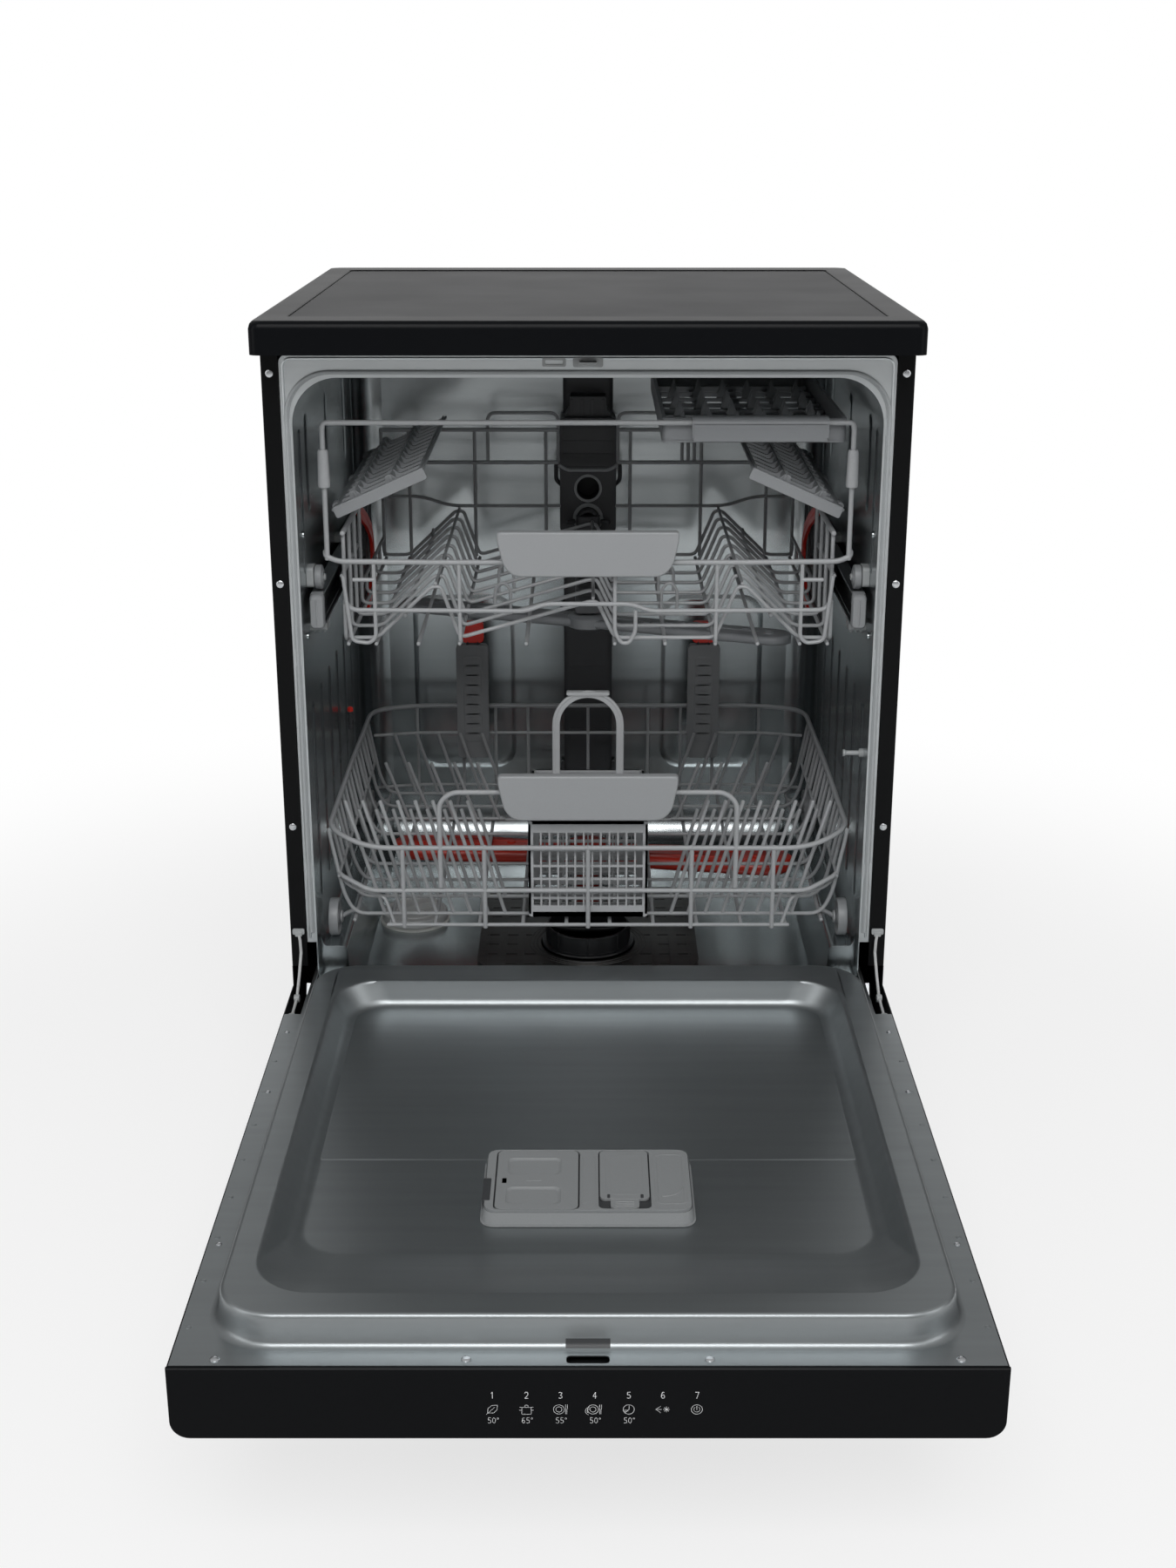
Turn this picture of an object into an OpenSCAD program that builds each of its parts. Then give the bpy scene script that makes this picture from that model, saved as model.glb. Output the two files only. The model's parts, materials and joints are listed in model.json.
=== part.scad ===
// Free-standing dishwasher, 60 cm class, with its door lowered and both racks pushed in.
// X runs to the viewer's right, the front faces -Y and Z is up. The origin lies on the floor,
// on the middle line, in the plane of the worktop's front edge. All sizes are millimetres.

/* [Cabinet] */
// Overall width of the worktop
body_w = 600; // [598:1:602]
// Overall height to the top of the worktop
body_h = 850; // [848:1:854]
// Depth of the worktop, and how far the open door reaches forward
body_d = 590; // [588:1:594]
// Height of the moulded worktop rim
worktop_h = 30; // [28:1:32]
// Thickness of the painted sheet panels
panel_t = 1.2; // [1:0.1:1.4]
// Height of the kick plate's top edge
kick_top = 112; // [108:1:112]

/* [Tub] */
// Half width of the tub's cavity
tub_half = 273; // [272:0.5:273.5]
// Height of the tub's floor
tub_floor = 150; // [148:1:150]
// Height of the tub's ceiling
tub_ceiling = 800; // [798:1:802]
// Depth at which the tub's back wall stands
tub_back = 556; // [555:1:558]
// Height of the ledges that the lower rack's wheels roll on
ledge_z = 215.4; // [215:0.1:215.5]

/* [Door] */
// Depth of the door's hinge axis behind the closed door's face
hinge_y = 48.5; // [48:0.1:49]
// Thickness of the door at its border
door_t = 59; // [58.5:0.1:59]
// How far the liner's raised ring stands above the border
liner_rise = 25; // [24:0.5:25]

/* [Racks] */
// Thickness of the fine rack wires
wire_d = 4; // [3.5:0.1:4.2]
// Thickness of the rim wires
rim_d = 5.5; // [5:0.1:5.8]
// Radius of the lower rack's wheels
wheel_r = 19.5; // [19:0.1:19.5]
// Reach of the lower spray arm
lower_arm_r = 229; // [220:1:229]
// Reach of the upper spray arm
upper_arm_r = 224; // [215:1:224]

/* [Hidden] */
$fn = 48;

// Cabinet
worktop_z = body_h - worktop_h;
board_half = 270;
board_y0 = 40;
board_y1 = body_d - 40;
board_t = 17;
gap = 0.3;
front_y = 60.4;
panel_x = body_w / 2 - 0.6;
panel_back = 578;
flange_w = 16;
flange_z = 205;
base_z = 22;
base_wall = 3;
base_rim = 70;
foot_x = 262;
foot_y0 = 105;
foot_y1 = 530;
stem_r = 5;

// Tub
tub_t = 1.2;
tub_front = 64;
tub_r = 46;
mouth_r = 43;
seam = 0.06;
ledge_in = 247;
back_r = 32;
ring_front = 62.4;
ring_half = 283;
ring_top = 814;
mouth_top = 793;
sill_z = 230;
sump_y = 240;
arm_y = 314;
salt_x = -197;
salt_y = 310;

// Door. In the lowered position its outer face looks down.
door_face = body_h - worktop_h - 2 - (body_d + hinge_y) - hinge_y;
hinge_z = door_face + hinge_y;
border_z = door_face + door_t;
ring_z = border_z + liner_rise;
door_half = 298;
fascia_y = -470;
liner_end = 42;
border_end = -20;
skin_end = 50;
tongue_end = 90;
liner_half = 270;
liner_near = -562;
button_y = -542;
button_r = 8.5;
sheet = 1.2;
cap_z = 203;
lid_t = 2.5;

// Racks
rail_x = 256;
rail_z = 549;
rail_h = 33;
rail_end = 524;
roller_r = 12;
roller_y = 115;
track_r = 13.6;
notch_y = 85.5;
notch_z = 184;
track_y = 305;
track_z = rail_z + rail_h / 2;
basket_half = 236;
floor_z = 536;
upper_front = 92;
upper_rear = 478;
low_floor = 246;
low_front = 78;
low_rear = 500;
wheel_z = ledge_z + 0.3 + wheel_r;
arm_z = 221;
socket_z = 573;
lift = 35;
up_arm_z = 499;
up_arm_y = 298;
tine_y = 368;
tine_h = 68;
tine_lean = 20;
shelf_w = 98;
shelf_x = 250;
shelf_z = 661;
shelf_tilt = 24;

// Points on an arc, as [x, y] pairs
function arc(cx, cy, r, a0, a1, n) =
    [for (i = [0:n]) let (a = a0 + (a1 - a0) * i / n) [cx + r * cos(a), cy + r * sin(a)]];

// A half outline followed by its mirror image
function mirrored(pts) =
    concat(pts, [for (i = [len(pts) - 1:-1:0]) [-pts[i][0], pts[i][1]]]);

// Half outline of the tub seen from the front, grown outwards by g
function tub_half_outline(g) = concat(
    arc(tub_half - tub_r, tub_ceiling - tub_r, tub_r + g, 90, 0, 8),
    [[tub_half + g, ledge_z + 10], [tub_half + g - 4, ledge_z - g], [ledge_in + g, ledge_z - g],
     [ledge_in + g - 4, tub_floor + 15 - g / 2], [ledge_in - 9 + g / 2, tub_floor - g]]);

// Outline of the tub seen from above, grown outwards by g
function tub_plan(g) = mirrored(concat(
    [[tub_half + g + 2, 0]],
    arc(tub_half - back_r, tub_back - back_r, back_r + g, 0, 90, 6)));

// An upright outline in the XZ plane, made solid from y0 to y1
module along_y(y0, y1) {
    translate([0, y1, 0]) rotate([90, 0, 0]) linear_extrude(y1 - y0) children();
}

// An outline in the YZ plane, made solid from x0 to x1
module along_x(x0, x1) {
    translate([x0, 0, 0]) rotate([90, 0, 90]) linear_extrude(x1 - x0) children();
}

module both_sides() {
    children();
    mirror([1, 0, 0]) children();
}

// A box given by its two opposite corners
module box(a, b) {
    translate(a) cube(b - a);
}

// Hairline seams where a pressed sheet or a wire frame is made up of parts, each across one axis
// and within two corners of the plane that it lies in
module seam_x(x, a, b) { translate([x, a[0], a[1]]) cube([seam, b[0] - a[0], b[1] - a[1]]); }
module seam_y(y, a, b) { translate([a[0], y, a[1]]) cube([b[0] - a[0], seam, b[1] - a[1]]); }
module seam_z(z, a, b) { translate([a[0], a[1], z]) cube([b[0] - a[0], b[1] - a[1], seam]); }

// Rectangle with round corners, between two corners
module round_rect(a, b, r) {
    union() {
        translate([a[0] + r, a[1]]) square([b[0] - a[0] - 2 * r, b[1] - a[1]]);
        translate([a[0], a[1] + r]) square([b[0] - a[0], b[1] - a[1] - 2 * r]);
        for (x = [a[0] + r, b[0] - r], y = [a[1] + r, b[1] - r]) translate([x, y]) circle(r);
    }
}

// Straight bar between two points, a little longer at both ends so that bends close. Thickness
// differs by a few hundredths from bar to bar, so that no two faces lie in one plane.
module bar(a, b, d) {
    v = b - a;
    len = norm(v);
    over = d * 0.3;
    thick = d + 0.012 * ((abs(a[0] * 7 + a[1] * 3 + a[2] * 5 + b[2]) % 7) - 3);
    translate(a - v / len * over) rotate([0, acos(v[2] / len), atan2(v[1], v[0])])
        cylinder(h = len + 2 * over, d = thick, $fn = 6);
}

// A bent wire through a list of points
module wire(points, d) {
    for (i = [0:len(points) - 2]) bar(points[i], points[i + 1], d);
}

// ---------------------------------------------------------------- cabinet

module worktop_board() {
    color("#202327")
        box([-board_half + gap, board_y0 + gap, body_h - 1 - board_t],
            [board_half - gap, board_y1 - gap, body_h - 1]);
}

module worktop_frame() {
    corner = 7;
    color("#101113") difference() {
        translate([0, 0, worktop_z]) linear_extrude(worktop_h)
            round_rect([-body_w / 2, 0], [body_w / 2, body_d], corner);
        box([-board_half, board_y0, body_h - 1 - board_t - gap], [board_half, board_y1, body_h + 1]);
        box([-board_half + 10, board_y0 + 10, worktop_z - 1], [board_half - 10, board_y1 - 10, body_h]);
    }
}

module side_panel(s) {
    color("#08090b") mirror([s < 0 ? 1 : 0, 0, 0]) union() {
        box([panel_x - panel_t, front_y, base_z + 4], [panel_x, panel_back, worktop_z]);
        box([panel_x - flange_w, front_y, flange_z], [panel_x, front_y + panel_t, worktop_z]);
        box([panel_x - flange_w, panel_back - panel_t, base_z + 4], [panel_x, panel_back, worktop_z]);
    }
}

module side_panel_left() { side_panel(-1); }
module side_panel_right() { side_panel(1); }

module back_panel() {
    y1 = panel_back - panel_t - gap;
    color("#2a2c2f") difference() {
        box([-panel_x + panel_t + 0.5, y1 - panel_t, 112], [panel_x - panel_t - 0.5, y1, worktop_z - gap]);
        for (i = [0:9]) box([-200 + i * 14, y1 - 5, 700], [-194 + i * 14, y1 + 5, 760]);
    }
}

module base_tray() {
    x1 = panel_x - panel_t - 1.5;
    y0 = front_y + 1.6;
    y1 = panel_back - 4;
    color("#17181a") difference() {
        union() {
            box([-x1, y0, base_z], [x1, y1, base_z + base_wall]);
            box([-x1, y0, base_z], [x1, y0 + base_wall, base_rim]);
            box([-x1, y1 - base_wall, base_z], [x1, y1, 108]);
            both_sides() box([x1 - base_wall, y0, base_z], [x1, y1, base_rim]);
            for (x = [-foot_x, foot_x], y = [foot_y0, foot_y1])
                translate([x, y, base_z]) cylinder(h = 34, r = 16);
        }
        for (x = [-foot_x, foot_x], y = [foot_y0, foot_y1])
            translate([x, y, 0]) cylinder(h = 80, r = stem_r + 0.05);
        translate([-225, y1 + 1, 70]) rotate([90, 0, 0]) cylinder(h = 8, r = 14);
        translate([225, y1 + 1, 64]) rotate([90, 0, 0]) cylinder(h = 8, r = 10.5);
    }
}

module feet() {
    color("#3a3b3d") for (x = [-foot_x, foot_x], y = [foot_y0, foot_y1])
        translate([x, y, 0]) union() {
            cylinder(h = 8, r = 20);
            translate([0, 0, 7]) cylinder(h = 10, r = 10, $fn = 6);
            translate([0, 0, 16]) cylinder(h = 44, r = stem_r);
        }
}

module kick_plate() {
    y0 = front_y - 3.4;
    color("#0b0c0d") union() {
        box([-296, y0, 14], [296, y0 + 2.4, kick_top]);
        both_sides() box([250, y0 + 2, 40], [262, front_y + 1.4, 60]);
    }
}

module hinge_brackets() {
    x0 = tub_half + 3.5;
    color("#8d9194") both_sides() union() {
        along_x(x0, x0 + 3) difference() {
            union() {
                translate([hinge_y, hinge_z]) circle(11);
                translate([hinge_y, hinge_z - 11]) square([102, 22]);
                translate([112, base_z + base_wall]) square([38, hinge_z - base_z - base_wall]);
            }
            translate([hinge_y, hinge_z]) circle(4.06);
        }
        box([x0 - 15, 130, base_z + base_wall], [x0 + 3, 150, base_z + base_wall + 3]);
    }
}

// The tub is folded and welded from flat panels, bent corner strips and a rim in front
module tub_seams() {
    z0 = tub_floor - 10;
    z1 = ring_top + 10;
    rim_y = [60, 65 + seam];
    far = tub_back + 4;
    side_y = tub_back - back_r;
    wall_x = tub_half - 7;
    seam_y(65, [-300, z0], [300, z1]);
    seam_y(tub_back - 0.1, [-241, z0], [241, z1]);
    seam_z(tub_floor, [-238, 65.02], [238, 67]);
    both_sides() {
        seam_x(230, [rim_y[0], 760], [rim_y[1], z1]);
        seam_x(260.4, [rim_y[0], 770], [rim_y[1], z1]);
        seam_z(750, [wall_x, rim_y[0]], [290, rim_y[1]]);
        seam_z(226, [wall_x, rim_y[0]], [290, rim_y[1]]);
        seam_x(243, [rim_y[0], z0], [rim_y[1], notch_z - 1.26]);
        seam_z(notch_z - 1.3, [190, rim_y[0]], [290, notch_y + 1.32]);
        seam_x(tub_half - 1.56, [rim_y[0], notch_z - 2], [notch_y + 1.32, notch_z + 0.1]);
        seam_y(notch_y - seam, [190, notch_z - 1.3], [tub_half - 1.5, notch_z + 0.1]);
        seam_y(notch_y + 1.26, [ledge_in - 11, z0], [290, ledge_z + 10.6]);
        seam_z(ledge_z + 10.05, [wall_x, 65], [290, side_y + seam]);
        seam_x(tub_half - 4.1, [notch_y + 1.26, 205], [side_y + seam, ledge_z + 10.1]);
        seam_x(ledge_in - 9.1, [65, z0], [tub_back, tub_floor + 2]);
        seam_x(ledge_in - 9.1, [65, tub_floor], [67.1, tub_floor + 15]);
        seam_x(227, [65, 790], [far, z1]);
        seam_x(259.5, [65, 770], [side_y, z1]);
        seam_z(tub_ceiling - tub_r, [wall_x, 65], [290, side_y + seam]);
        seam_y(side_y, [ledge_in - 11, z0], [290, z1]);
        seam_x(241, [side_y, z0], [far, z1]);
    }
}

module tub() {
    color("#b9bdc0") difference() {
        union() {
            intersection() {
                along_y(tub_front, tub_back + tub_t) polygon(mirrored(tub_half_outline(tub_t)));
                translate([0, 0, 100]) linear_extrude(720) polygon(tub_plan(tub_t));
            }
            along_y(ring_front, tub_front + 1) round_rect([-ring_half, sill_z], [ring_half, ring_top], 8);
            box([-ledge_in + 8, tub_front, tub_floor - 1], [ledge_in - 8, tub_front + 3, tub_floor + 14]);
            both_sides() box([200, tub_front, notch_z - tub_t],
                [tub_half - 0.3, notch_y + tub_t, ledge_z + tub_t]);
            both_sides() box([tub_half - 0.3 - tub_t, tub_front, ledge_z - 2],
                [tub_half - 0.3, notch_y + tub_t, ledge_z + 8.5]);
        }
        tub_seams();
        both_sides() box([199, 0, notch_z], [tub_half - 0.3 - tub_t, notch_y, ledge_z + 8]);
        intersection() {
            along_y(tub_front + 3, tub_back) polygon(mirrored(tub_half_outline(0)));
            translate([0, 0, 100]) linear_extrude(720) polygon(tub_plan(0));
        }
        difference() {
            along_y(ring_front - 1, tub_front + 4) polygon(mirrored(concat(
                arc(tub_half - mouth_r, mouth_top - mouth_r, mouth_r, 90, 0, 8),
                [[tub_half, ledge_z + 10], [tub_half - 4, ledge_z], [ledge_in, ledge_z],
                 [ledge_in - 4, tub_floor + 15], [ledge_in - 9, tub_floor + 0.01]])));
            box([-ledge_in, 0, 0], [ledge_in, tub_front + 3, tub_floor + 14]);
        }
        translate([0, sump_y, 100]) cylinder(h = 80, r = 59);
        translate([salt_x, salt_y, 100]) cylinder(h = 80, r = 36);
        translate([0, arm_y, 100]) cylinder(h = 80, r = 8);
    }
}

module door_seal() {
    inner = tub_half + 2.5;
    outer = inner + 6;
    color("#b4b8ba") along_y(ring_front - 2.8, ring_front) difference() {
        polygon(mirrored(concat(arc(outer - 52, mouth_top + 8 - 52, 52, 90, 0, 8), [[outer, sill_z]])));
        polygon(mirrored(concat(arc(inner - 46, mouth_top + 2 - 46, 46, 90, 0, 8), [[inner, sill_z - 1]])));
    }
}

// Roller axles, guide shoes, spray arm spigot and the striker for the latch
module tub_fittings() {
    shoe_y = 325;
    color("#a9adb0") {
        both_sides() {
            translate([rail_x - 1, roller_y, rail_z + rail_h + 0.6 + roller_r]) rotate([0, 90, 0])
                cylinder(h = tub_half - rail_x + 1, r = 3.5);
            for (y = [roller_y, shoe_y]) box([rail_x, y, rail_z - 9], [tub_half, y + 22, rail_z - 0.6]);
            box([rail_x, shoe_y, rail_z + rail_h + 0.6], [tub_half, shoe_y + 22, rail_z + rail_h + 9]);
        }
        translate([0, arm_y, tub_floor]) cylinder(h = 23, r = 9);
        union() {
            box([-8, 50, 805.5], [8, ring_front, 808.5]);
            box([-14, ring_front - 1.6, 802.5], [14, ring_front, 811.5]);
        }
        box([-42, ring_front - 1.6, 803], [-20, ring_front, 811]);
    }
}

module spray_duct() {
    y0 = 544;
    dock_y = 505;
    color("#3c3d40") difference() {
        union() {
            box([-29.5, y0, 160], [29.5, tub_back, 796]);
            box([-33, dock_y, 556], [33, y0 + 1, 690]);
            box([-22, dock_y + 8, 690], [22, y0 + 1, 712]);
        }
        for (z = [socket_z, socket_z + lift]) translate([0, dock_y - 1, z]) rotate([-90, 0, 0])
            cylinder(h = 30, r = 13);
    }
}

module filter_plate() {
    z0 = tub_floor;
    color("#3b3735") difference() {
        translate([0, 0, z0]) linear_extrude(3.4) round_rect([-120, 168], [120, 400], 26);
        translate([0, sump_y, z0 - 1]) cylinder(h = 2.8, r = 66.5);
        translate([0, sump_y, z0 - 1]) cylinder(h = 8, r = 52);
        translate([0, arm_y, z0 - 1]) cylinder(h = 8, r = 15);
    }
}

module softener() {
    color("#d7d8d4") difference() {
        union() {
            box([-262, 236, 40], [-128, 396, 140]);
            translate([salt_x, salt_y, 130]) cylinder(h = 20.2, r = 34);
            translate([salt_x, salt_y, 150.2]) cylinder(h = 2, r = 39.5);
        }
        translate([salt_x, salt_y, 60]) cylinder(h = 100, r = 31);
        box([-258, 240, 44], [-132, 392, 136]);
    }
}

// Sump bowl with the drain pump on its side
module sump() {
    color("#232426") difference() {
        union() {
            translate([0, sump_y, 60]) cylinder(h = 90.2, r = 58);
            translate([0, sump_y, 150.2]) cylinder(h = 1.4, r = 64.5);
            translate([-100, sump_y - 30, 78]) rotate([0, 90, 0]) cylinder(h = 60, r = 24);
            translate([20, sump_y + 30, 90]) rotate([0, 90, 0]) cylinder(h = 55, r = 20);
        }
        translate([0, sump_y, 64]) cylinder(h = 100, r = 54);
    }
}

module circulation_pump() {
    color("#4b4e52") union() {
        translate([76, sump_y + 30, 90]) rotate([0, 90, 0]) cylinder(h = 34, r = 44);
        translate([109, sump_y + 30, 90]) rotate([0, 90, 0]) cylinder(h = 86, r = 36);
        translate([90, sump_y + 50, 120]) cylinder(h = 20, r = 12);
        box([120, sump_y + 5, 30], [180, sump_y + 55, 60]);
    }
}

// Air-gap chamber between the tub's wall and the left panel
module water_intake() {
    color("#cfd2cf") difference() {
        box([-296, 200, 260], [-280, 500, 640]);
        box([-294, 203, 263], [-282, 497, 637]);
    }
}

module inlet_valve() {
    y1 = panel_back - 4;
    color("#e4e4e0") difference() {
        union() {
            translate([-225, body_d - 1, 70]) rotate([90, 0, 0]) cylinder(h = 12, r = 13.2);
            translate([-225, body_d - 13, 70]) rotate([90, 0, 0]) cylinder(h = 18, r = 12.2);
            box([-245, y1 - 50, 50], [-205, y1 - 10, 100]);
        }
        translate([-225, body_d + 1, 70]) rotate([90, 0, 0]) cylinder(h = 22, r = 9);
    }
}

module drain_spigot() {
    y1 = panel_back - 4;
    color("#2b2c2e") difference() {
        union() {
            translate([225, body_d - 1, 64]) rotate([90, 0, 0]) cylinder(h = 14, r = 10);
            translate([225, body_d - 15, 64]) rotate([90, 0, 0]) cylinder(h = 26, r = 9.2);
            translate([225, y1 - 3.2, 64]) rotate([90, 0, 0]) cylinder(h = 4, r = 16);
        }
        translate([225, body_d + 1, 64]) rotate([90, 0, 0]) cylinder(h = 44, r = 7.5);
    }
}

module cabinet_screws() {
    head_r = 3.6;
    color("#c9cccf") {
        for (x = [-291.5, 291.5], z = [355, 600, 797])
            translate([x, front_y, z]) rotate([90, 0, 0]) cylinder(h = 1.1, r = head_r);
        for (x = [-291, 291], z = [140, 460, 790])
            translate([x, panel_back, z]) rotate([-90, 0, 0]) cylinder(h = 1.8, r = head_r);
    }
}

module filter_cup() {
    color("#1b1c1e") difference() {
        union() {
            translate([0, sump_y, 72]) cylinder(h = 104, r = 46);
            translate([0, sump_y, 154]) cylinder(h = 3, r = 51);
        }
        translate([0, sump_y, 76]) cylinder(h = 110, r = 42);
        for (i = [0:7]) translate([0, sump_y, 160]) rotate([0, 0, i * 45 + 22.5])
            box([30, -9, 0], [60, 9, 11]);
    }
}

module salt_cap() {
    color("#d0d2d2") union() {
        translate([salt_x, salt_y, 152.6]) cylinder(h = 10, r = 37);
        translate([salt_x, salt_y, 120]) cylinder(h = 33, r = 30);
        translate([salt_x, salt_y, 162]) rotate([0, 0, 30]) box([-28, -6, 0], [28, 6, 8]);
    }
}

module rail_rollers() {
    color("#96999c") both_sides()
        translate([rail_x + 1, roller_y, rail_z + rail_h + 0.6 + roller_r]) rotate([0, 90, 0])
            difference() {
                cylinder(h = 9, r = roller_r);
                translate([0, 0, -1]) cylinder(h = 12, r = 3.55);
            }
}

// Hollow-looking paddle arm: two tapered blades on a round hub
module spray_blade(reach, w_hub, w_tip, h) {
    linear_extrude(h) union() {
        polygon([[0, -w_hub / 2], [reach - w_tip, -w_tip / 2], [reach - w_tip, w_tip / 2], [0, w_hub / 2]]);
        translate([reach - w_tip / 2, 0]) circle(w_tip / 2);
        translate([reach - w_tip, -w_tip / 2]) square([w_tip / 2, w_tip]);
    }
}

module lower_spray_arm() {
    color("#b3200f") translate([0, arm_y, arm_z]) rotate([0, 0, -7]) difference() {
        union() {
            spray_blade(lower_arm_r, 40, 58, 16);
            rotate([0, 0, 180]) spray_blade(lower_arm_r - 8, 40, 58, 16);
            cylinder(h = 18, r = 34);
            translate([0, 0, 156 - arm_z]) cylinder(h = arm_z - 155, r = 13);
        }
        translate([0, 0, 150 - arm_z]) cylinder(h = 26, r = 9.06);
    }
}

// ---------------------------------------------------------------- door, lowered

module door_outer_skin() {
    color("#060709") union() {
        box([-door_half, fascia_y + gap, door_face], [door_half, skin_end, door_face + sheet]);
        both_sides() box([door_half - sheet, fascia_y + gap, door_face], [door_half, skin_end, border_z - 1.6]);
        box([-door_half + 1.6, skin_end - 1, door_face], [door_half - 1.6, tongue_end, door_face + sheet]);
    }
}

// Solid bounded below by the basin's floor outline and above by its mouth, grown by g
module basin(g, z0, z1) {
    hull() {
        translate([0, 0, z0]) linear_extrude(0.01)
            round_rect([-231 - g, -449 - g], [231 + g, -2 + g], 40, $fn = 24);
        translate([0, 0, z1]) linear_extrude(0.01)
            round_rect([-246 - g, -532 - g], [246 + g, 4.8 + g], 45, $fn = 24);
    }
}

// The liner is pressed in strips: its floor, the slopes and the flat border
module liner_seams() {
    z0 = border_z - 10;
    z1 = ring_z + 5;
    seam_y(-449, [-186, z0], [186, z1]);
    seam_y(-2, [-186, z0], [186, z1]);
    seam_y(liner_near - seam, [-liner_half, z0], [liner_half, z1]);
    both_sides() {
        seam_x(231, [-404, z0], [-50, z1]);
        seam_y(-404, [186, z0], [liner_half + seam, z1]);
        seam_y(-50, [186, z0], [liner_half + seam, z1]);
        seam_x(186, [liner_near, z0], [-404 + seam, z1]);
        seam_x(186, [-50, z0], [liner_end + 1, z1]);
        seam_x(liner_half, [-600, z0], [60, z1]);
        seam_x(15.4, [-600, z0], [liner_near, z1]);
    }
}

module door_liner() {
    color("#9ca0a3") difference() {
        union() {
            box([-door_half + sheet + gap, -586.4, border_z - sheet],
                [door_half - sheet - gap, border_end, border_z]);
            translate([0, 0, border_z - sheet]) linear_extrude(liner_rise + sheet)
                round_rect([-liner_half, liner_near], [liner_half, liner_end], 44, $fn = 32);
            box([-liner_half, -20, border_z - sheet], [liner_half, liner_end, ring_z]);
        }
        basin(0, border_z, ring_z + 0.2);
        difference() {
            translate([0, 0, border_z - sheet - 1]) linear_extrude(liner_rise + 1)
                round_rect([-liner_half + sheet, liner_near + sheet], [liner_half - sheet, liner_end - sheet],
                    43, $fn = 32);
            basin(sheet, border_z - sheet - 1.1, ring_z + 0.2);
        }
        liner_seams();
        box([-15.4, -583.5, border_z - 5], [15.4, -574.5, border_z + 5]);
        box([-60, -390, border_z - 5], [60, -320, border_z + 5]);
    }
}

// Pocket grip, indicator window and three button holes face forward when the door is closed
module control_fascia() {
    wall = 3;
    grip = [92, -506, -480];
    color("#050608") difference() {
        union() {
            box([-door_half, -body_d, door_face], [door_half, fascia_y, door_face + wall]);
            box([-door_half, -body_d, door_face], [door_half, -body_d + wall, border_z]);
            both_sides() box([door_half - wall, -body_d, door_face], [door_half, fascia_y, border_z - 1.6]);
            box([-grip[0] - 2.5, grip[1] - 2.5, door_face], [grip[0] + 2.5, grip[2] + 2.5, door_face + 26]);
        }
        box([-grip[0], grip[1], door_face - 1], [grip[0], grip[2], door_face + 23.5]);
        box([-80, button_y - 8, door_face - 1], [90, button_y + 8, door_face + wall + 1]);
        for (x = [-200, -100, 200]) translate([x, button_y, door_face - 1]) cylinder(h = 8, r = button_r + 0.4);
    }
}

module display_window() {
    color("#2b2f36") box([-80 + gap, button_y - 8 + gap, door_face], [90 - gap, button_y + 8 - gap, door_face + 2]);
}

module control_board() {
    z0 = door_face + 12;
    color("#1f5a34") union() {
        box([-215, button_y - 20, z0], [215, button_y + 20, z0 + 1.6]);
        for (x = [-60:30:90]) box([x, button_y - 8, z0 + 1.4], [x + 12, button_y + 8, z0 + 6]);
    }
}

module button(x) {
    color("#0e0f11") translate([x, button_y, door_face - 1.6]) union() {
        cylinder(h = 10, r = button_r);
        translate([0, 0, 5]) cylinder(h = 2, r = button_r + 1.6);
    }
}

module power_button() { button(-200); }
module program_button() { button(-100); }
module start_button() { button(200); }

module dispenser_body() {
    z0 = border_z + gap;
    color("#8a8d90") difference() {
        union() {
            translate([0, 0, z0]) linear_extrude(cap_z - z0) round_rect([-85, -405], [85, -303], 9);
            box([-58, -388, z0 - 22], [58, -322, z0 + 1]);
        }
        box([-75, -400, cap_z - lid_t - 0.3], [-7, -307, cap_z + 1]);
        box([-56, -386, z0 - 20], [-14, -324, cap_z]);
        box([9, -398, cap_z - lid_t - 0.3], [50, -307, cap_z + 1]);
        translate([30, -350, z0 - 20]) cylinder(h = 60, r = 14);
    }
}

module detergent_lid() {
    z0 = cap_z - lid_t;
    color("#94979a") difference() {
        box([-74.4, -399.4, z0], [-8, -307.6, cap_z]);
        for (y = [-392, -346]) box([-66, y, cap_z - 1], [-22, y + 26, cap_z + 1]);
    }
}

module rinse_aid_flap() {
    z0 = cap_z - lid_t;
    color("#94979a") union() {
        box([9.6, -384, z0], [49.4, -307.6, cap_z]);
        box([18, -397, z0], [41, -383, cap_z]);
        translate([30, -350, z0 - 4]) cylinder(h = 4.5, r = 13.4);
    }
}

module door_latch() {
    color("#3a3c3f") difference() {
        box([-22, -586, 150], [22, -560, 178]);
        box([-14, -584, 160], [14, -573, 179]);
        both_sides() seam_x(14, [-590, 149], [-559, 179]);
        seam_z(160 - seam, [-14, -587], [14, -559]);
    }
}

module hinge_arms() {
    x0 = tub_half + 7.2;
    color("#8d9194") both_sides() union() {
        along_x(x0, x0 + 4) union() {
            translate([hinge_y, hinge_z]) circle(11);
            translate([-112, hinge_z - 27]) square([hinge_y + 112, 27]);
        }
        translate([x0 - 5, hinge_y, hinge_z]) rotate([0, 90, 0]) cylinder(h = 6, r = 4);
    }
}

module door_screws() {
    color("#c9cccf") {
        for (x = [-264.6, -86.4, 86.4, 264.6])
            translate([x, -579, border_z]) cylinder(h = 1.6, r = 3.6);
        for (x = [-288, 288], y = [-430, -180, -60]) translate([x, y, border_z]) cylinder(h = 0.9, r = 2.6);
    }
}

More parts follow.
